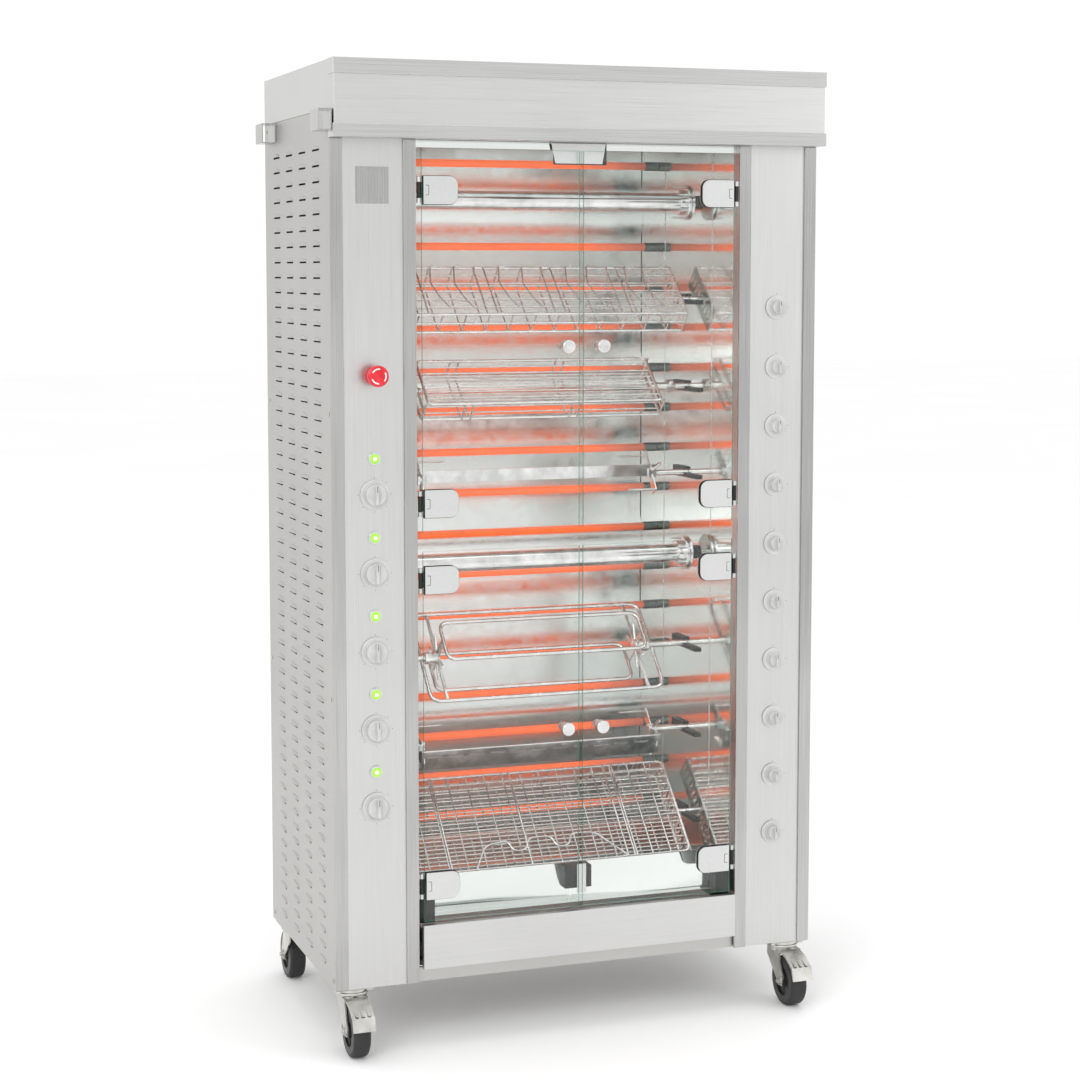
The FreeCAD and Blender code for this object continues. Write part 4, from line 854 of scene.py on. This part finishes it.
def leaf(level, side_name, side):
    """A glass door leaf with its two clamps, their gaskets and knuckles, and its pull."""
    body = f"{level}_{side_name}_door"
    pane = dressed(body + "_glass", PANE, body, edge=0.0007, segments=2)
    pane.data.materials.append(PANE_EDGE)
    for face in pane.data.polygons:
        if abs(face.normal.y) < 0.8:
            face.material_index = 1
    metal, rubber = [], []
    for z in HINGE_Z[level]:
        start, stop = side * (HINGE_X - 8 * MM), side * (HINGE_X - 75 * MM)
        x0, x1 = sorted((start, stop))
        for plate_y, gasket_y in (((-6.3, -3.3), (-3.3, -3.0)), ((3.3, 8.3), (3.0, 3.3))):
            plate = block("clamp_plate", (x0, inside(plate_y[0]), z - 26.5 * MM),
                          (x1, inside(plate_y[1]), z + 26.5 * MM))
            corners_cut(plate, 16 * MM)
            softened(plate, 0.7 * MM, 2)
            metal.append(plate)
            gasket = block("gasket", (x0 - 0.9 * MM, inside(gasket_y[0]), z - 27.4 * MM),
                           (x1 + 0.9 * MM, inside(gasket_y[1]), z + 27.4 * MM))
            corners_cut(gasket, 17 * MM)
            rubber.append(gasket)
        rubber.append(turned("barrel", 4.0 * MM, (side * HINGE_X, FRONT_Y, z - 15 * MM),
                             (side * HINGE_X, FRONT_Y, z + 15 * MM), 0.6 * MM, 24))
        x0, x1 = sorted((side * (HINGE_X - 1.0 * MM), side * (HINGE_X - 10 * MM)))
        rubber.append(block("knuckle_web", (x0, inside(3.4), z - 14.5 * MM),
                            (x1, inside(8.2), z + 14.5 * MM), 0.0006))
        near, far, y = side * (HINGE_X - 12 * MM), side * (HINGE_X - 18 * MM), ahead(6.2)
        rubber.append(wire("key_slot", [(near, y, z + 9 * MM), (far, y, z + 9 * MM), (far, y, z - 9 * MM),
                                        (near, y, z - 9 * MM)], 0.5 * MM, 1 * MM))
    x, z = side * 36 * MM, {"upper": 1.353, "lower": 0.610}[level]
    pull = [turned("pull_neck", 9.0 * MM, (x, ahead(12), z), (x, ahead(3.0), z), 0.8 * MM, 32)]
    grip = turned("pull_grip", 13.0 * MM, (x, ahead(31.3), z), (x, ahead(11), z), 1.6 * MM, 48, 3)
    for vertex in grip.data.vertices:
        if vertex.co.y > ahead(14):
            vertex.co.x = x + (vertex.co.x - x) * 0.9
            vertex.co.z = z + (vertex.co.z - z) * 0.9
    pull.append(grip)
    pull.append(turned("pull_rim", 11.0 * MM, (x, ahead(31.6), z), (x, ahead(30.4), z), 0.5 * MM, 48))
    metal.append(turned("pull_nut", 9.5 * MM, (x, inside(3.2), z), (x, inside(8.0), z), 0.8 * MM, 6))
    fittings = merged(body + "_metal", metal)
    finished(fittings, CLAMP_STEEL, body, (body + "_fittings",))
    finished(merged(body + "_pull", pull), SPIT_BAR, body)
    finished(merged(body + "_gaskets", rubber), GASKET, body)


def corners_cut(plate, radius):
    """Rounds the two corners of a clamp that lie away from the hinge."""
    pick(plate)
    bpy.ops.object.mode_set(mode="EDIT")
    bpy.ops.mesh.select_all(action="DESELECT")
    bpy.ops.mesh.select_mode(type="EDGE")
    bpy.ops.object.mode_set(mode="OBJECT")
    reach = min(abs(v.co.x) for v in plate.data.vertices)
    for edge in plate.data.edges:
        a, b = (plate.data.vertices[i].co for i in edge.vertices)
        along_y = abs(a.y - b.y) > 0.0001 and abs(a.x - b.x) < 0.0001 and abs(a.z - b.z) < 0.0001
        edge.select = along_y and abs(abs(a.x) - reach) < 0.0005
    bpy.ops.object.mode_set(mode="EDIT")
    bpy.ops.mesh.bevel(offset=radius, segments=7, affect="EDGES")
    bpy.ops.mesh.select_mode(type="VERT")
    bpy.ops.object.mode_set(mode="OBJECT")


for level in ("upper", "lower"):
    for side_name, side in (("left", -1), ("right", 1)):
        leaf(level, side_name, side)

catch = block("top_catch_plate", (-60 * MM, inside(5.0), 1.702), (52 * MM, inside(6.0), 1.7405),
              0.0006)
for vertex in catch.data.vertices:
    if vertex.co.z < 1.712:
        vertex.co.x *= 0.86
finished(catch, CLAMP_STEEL)
low_plate = block("low_catch_plate", (-3 * MM, inside(10.4), 0.272), (16 * MM, inside(11.6), 0.330),
                  0.0006)
finished(low_plate, CLAMP_STEEL)


# ---------------------------------------------------------------- controls

def ring(name, outer, inner, x, y0, y1, z, edge, sides=64):
    """A turned ring facing the cook."""
    body_ring = turned(name, outer, (x, y0, z), (x, y1, z), 0.0, sides)
    hole = turned(name + "_hole", inner, (x, y0 - 2 * MM, z), (x, y1 + 2 * MM, z), 0.0, sides)
    hollowed(body_ring, hole)
    return softened(body_ring, edge, 2)


def facing(name, radius, y0, y1, z, edge=0.0, sides=32, segments=2):
    """A round piece on the left pillar's line of controls, facing the cook."""
    return turned(name, radius, (-CONTROL_X, y0, z), (-CONTROL_X, y1, z), edge, sides, segments)


def grip_knob(name, node, x, z, dial, grip, bar_half):
    """A knob: printed dial, domed skirt, ribbed body and an upright grip bar with its pointer line."""
    base = ahead(0.3)
    dial_plate = turned(name + "_dial", dial, (x, base - 3.0 * MM, z), (x, base, z), 1.0 * MM, 72, 3)
    finished(dial_plate, DIAL, node)
    skirt = turned("skirt", grip + 1.5 * MM, (x, base - 6.0 * MM, z), (x, base - 2.6 * MM, z), 0.8 * MM, 64)
    crown = turned("crown", grip - 1.0 * MM, (x, base - 15.0 * MM, z), (x, base - 5.0 * MM, z),
                   1.8 * MM, 64, 3)
    bar = block("grip_bar", (x - bar_half, base - 22.6 * MM, z - grip + 1.5 * MM),
                (x + bar_half, base - 5.0 * MM, z + grip - 1.5 * MM))
    for vertex in bar.data.vertices:
        if vertex.co.y < base - 15 * MM:
            vertex.co.x = x + (vertex.co.x - x) * 0.72
            vertex.co.z = z + (vertex.co.z - z) * 0.9
    softened(bar, 1.4 * MM, 3)
    shaft = turned("shaft", 4.0 * MM, (x, base - 2.0 * MM, z), (x, inside(30.0), z), 0.5 * MM, 20)
    finished(merged(name + "_body", [crown, skirt, bar, shaft]), KNOB, node, (node,))
    pointer = block(name + "_pointer", (x - 0.6 * MM, base - 22.8 * MM, z + grip * 0.25),
                    (x + 0.6 * MM, base - 22.2 * MM, z + grip * 0.82), 0.0002)
    finished(pointer, MARK, node)


def dial_marks(x, z, radius, angles, size):
    """Printed ticks round a control."""
    ticks = []
    for angle in angles:
        tick = block("tick", (-0.35 * MM, 0.0, radius), (0.35 * MM, 0.12 * MM, radius + size))
        ticks.append(placed(tick, Matrix.Translation((x, ahead(0.12), z))
                            @ spun(angle, "Y")))
    return ticks


marks = []
for i in range(1, 6):
    z = JOINTS[f"heat_knob_{i}_turn"]["pos_m"][2]
    grip_knob(f"heat_knob_{i}", f"heat_knob_{i}", -CONTROL_X, z, 28.5 * MM, 21.0 * MM, 4.2 * MM)
    marks += dial_marks(-CONTROL_X, z, 31.0 * MM, range(0, 280, 45), 2.4 * MM)
for i in range(1, 11):
    z = JOINTS[f"spit_switch_{i}_turn"]["pos_m"][2]
    grip_knob(f"spit_switch_{i}", f"spit_switch_{i}", CONTROL_X, z, 23.5 * MM, 14.0 * MM, 3.4 * MM)
    marks += dial_marks(CONTROL_X, z, 26.0 * MM, (0, 90), 2.4 * MM)
finished(merged("control_marks", marks), MARK)

lamp_z = [JOINTS[f"heat_knob_{i}_turn"]["pos_m"][2] + 67.7 * MM for i in range(1, 6)]
bezels, lenses, cores = [], [], []
for z in lamp_z:
    bezels.append(ring("bezel", 12.5 * MM, 8.6 * MM, -CONTROL_X, ahead(3.2), ahead(0.1), z, 0.9 * MM, 48))
    lenses.append(facing("lens", 8.5 * MM, ahead(5.8), inside(20), z, 2.2 * MM, 40, 4))
    cores.append(facing("core", 3.4 * MM, ahead(6.2), ahead(5.0), z, 0.4 * MM, 24))
finished(merged("lamp_bezels", bezels), CLAMP_STEEL)
finished(merged("lamp_lenses", lenses), LAMP_LENS, stands_for=("pilot_lamps",))
finished(merged("lamp_cores", cores), LAMP_CORE)

stop_low, stop_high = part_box("emergency_stop")
stop_z = (stop_low.z + stop_high.z) / 2
collar = facing("stop_collar", 17.5 * MM, ahead(7.0), ahead(0.1), stop_z, 1.4 * MM, 64, 3)
hollowed(collar, facing("stop_bore", 11.3 * MM, ahead(12), inside(4), stop_z, 0.0, 48))
finished(smooth(collar), STOP_COLLAR)
stop_y = stop_low.y
head = facing("stop_head", 20.0 * MM, stop_y, stop_y + 14 * MM, stop_z, 3.6 * MM, 72, 5)
neck = facing("stop_neck", 11.0 * MM, stop_y + 12 * MM, stop_high.y, stop_z, 0.6 * MM, 40)
taper = facing("stop_taper", 15.5 * MM, stop_y + 12 * MM, stop_y + 19 * MM, stop_z, 2.5 * MM, 48, 3)
button = merged("stop_button", [head, neck, taper])
finished(button, STOP_RED, "emergency_stop", ("emergency_stop",))
arrows = []
for k in range(3):
    arrow = ring("arrow", 15.0 * MM, 12.4 * MM, 0.0, -0.25 * MM, 0.15 * MM, 0.0, 0.05 * MM, 48)
    for angle in (0, 250):
        wedge = block("wedge", (0.0, -2 * MM, -30 * MM), (30 * MM, 2 * MM, 30 * MM))
        placed(wedge, spun(angle, "Y"))
        hollowed(arrow, wedge)
    arrows.append(placed(arrow, Matrix.Translation((-CONTROL_X, stop_y, stop_z)) @ spun(120 * k, "Y")))
finished(merged("stop_arrows", arrows), STOP_ARROW, "emergency_stop")


# ---------------------------------------------------------------- casters

def caster(end, side_name):
    """A swivelling fork with its wheel, bolts and top plate's nuts, and at the front its brake pedal."""
    name = f"{end}_{side_name}_caster"
    swivel = Vector(JOINTS[name + "_swivel"]["pos_m"])
    roll = Vector(JOINTS[name + "_roll"]["pos_m"])
    dressed(name + "_fork", ZINC, name + "_fork", edge=0.0008)
    wheel = dressed(name + "_wheel", TYRE, name + "_wheel", edge=0.0)
    wheel.data.materials.append(HUB)
    for face in wheel.data.polygons:
        spot = face.center
        if math.hypot(spot.y - roll.y, spot.z - roll.z) < 30.2 * MM:
            face.material_index = 1
    spokes = []
    for side in (-1, 1):
        x = roll.x + side * 12.0 * MM
        for k in range(6):
            rib = block("rib", (x - 1.5 * MM, -1.6 * MM, 12 * MM),
                        (x + (3.0 if side > 0 else 1.5) * MM, 1.6 * MM, 29.5 * MM), 0.0005)
            spokes.append(placed(rib, Matrix.Translation((0.0, roll.y, roll.z)) @ spun(60 * k, "X")))
    finished(merged(name + "_ribs", spokes), HUB, name + "_wheel")
    bolts = []
    for side in (-1, 1):
        x = roll.x + side * 22.0 * MM
        for part, radius, inner, outer, edge, sides in (
            ("axle_nut", 7.5, 0.0, 4.5, 0.8, 6), ("axle_tip", 4.0, 0.0, 7.0, 0.8, 20),
            ("axle_washer", 9.5, -0.2, 1.2, 0.3, 32),
        ):
            bolts.append(turned(part, radius * MM, (x + side * inner * MM, roll.y, roll.z),
                                (x + side * outer * MM, roll.y, roll.z), edge * MM, sides))
    bolts.append(turned("race", 33.0 * MM, (swivel.x, swivel.y, 114 * MM), (swivel.x, swivel.y, 120.5 * MM),
                        2.4 * MM, 64, 3))
    finished(merged(name + "_bolts", bolts), ZINC, name + "_fork")
    corners = []
    for dx in (-30, 30):
        for dy in (-22, 22):
            spot = (swivel.x + dx * MM, swivel.y + dy * MM)
            corners.append(turned("plate_bolt", 6.5 * MM, (*spot, 121.6 * MM), (*spot, 126.4 * MM),
                                  0.8 * MM, 6))
    finished(merged(name + "_plate_bolts", corners), ZINC)
    if end == "front":
        dressed(name + "_brake", ZINC, name + "_brake", edge=0.0006)
        tread = []
        for dx in (-12, 0, 12):
            tread.append(block("tread_rib", (swivel.x + (dx - 3.2) * MM, swivel.y - 90 * MM, 92.4 * MM),
                               (swivel.x + (dx + 3.2) * MM, swivel.y - 70 * MM, 93.6 * MM), 0.0004))
        turn = math.atan2(103 - 91, -64 + 92)
        ribs = merged(name + "_brake_ribs", tread)
        pivot = Matrix.Translation((0.0, swivel.y - 80 * MM, 93.0 * MM))
        tipped = pivot @ Matrix.Rotation(turn, 4, "X") @ pivot.inverted()
        placed(ribs, tipped @ Matrix.Translation((0, 0, 5.6 * MM)))
        finished(ribs, ZINC, name + "_brake")


for end in ("front", "rear"):
    for side_name in ("left", "right"):
        caster(end, side_name)


# ---------------------------------------------------------------- studio

def studio():
    """A pale floor that runs to the horizon, a bright soft sky and three large soft lamps."""
    deselect()
    bpy.ops.mesh.primitive_plane_add(size=60.0, location=(0.0, 0.0, 0.0))
    floor = bpy.context.object
    floor.name = "floor"
    pale = Finish("pale_studio_floor", "fcfcfc", roughness=0.8)
    pale.drive("Base Color", pale.ramp(pale.noise(0.6, 2.0), "fbfbfb", "fdfdfd"))
    slotted(floor, pale.material)
    world = bpy.data.worlds.new("soft_studio")
    bpy.context.scene.world = world
    world.use_nodes = True
    tree = world.node_tree
    sky = tree.nodes["Background"]
    coordinate = tree.nodes.new("ShaderNodeTexCoord")
    axes = tree.nodes.new("ShaderNodeSeparateXYZ")
    ramp = tree.nodes.new("ShaderNodeValToRGB")
    tree.links.new(coordinate.outputs["Generated"], axes.inputs["Vector"])
    tree.links.new(axes.outputs["Z"], ramp.inputs["Fac"])
    ramp.color_ramp.elements[0].color = (1.0, 1.0, 1.0, 1.0)
    ramp.color_ramp.elements[1].color = (0.98, 0.98, 0.98, 1.0)
    tree.links.new(ramp.outputs["Color"], sky.inputs["Color"])
    sky.inputs["Strength"].default_value = 1.03
    for name, place, aim, size, power in (
        ("key", (-3.2, -3.6, 3.4), (0.0, 0.0, 1.0), 2.6, 70.0),
        ("fill", (3.6, -3.0, 2.2), (0.0, 0.0, 0.9), 2.4, 22.0),
        ("top", (0.0, -0.6, 4.2), (0.0, 0.0, 1.0), 2.2, 22.0),
    ):
        lamp = bpy.data.lights.new(name, "AREA")
        lamp.shape = "SQUARE"
        lamp.size = size
        lamp.energy = power
        holder = bpy.data.objects.new(name, lamp)
        holder.location = place
        holder.rotation_euler = (Vector(aim) - Vector(place)).to_track_quat("-Z", "Y").to_euler()
        bpy.context.scene.collection.objects.link(holder)


def camera():
    """The view from the left front, slightly above the middle."""
    lens = bpy.data.cameras.new("view")
    lens.sensor_width = 36.0
    lens.lens = 74.66
    lens.shift_y = -0.065
    holder = bpy.data.objects.new("view", lens)
    holder.location = (-1.5323, -4.3026, 1.4965)
    holder.rotation_euler = (math.radians(90 - 5.065), 0.0, math.radians(-19.668))
    bpy.context.scene.collection.objects.link(holder)
    bpy.context.scene.camera = holder


studio()
camera()
bpy.context.scene.view_settings.view_transform = "Standard"
deselect()
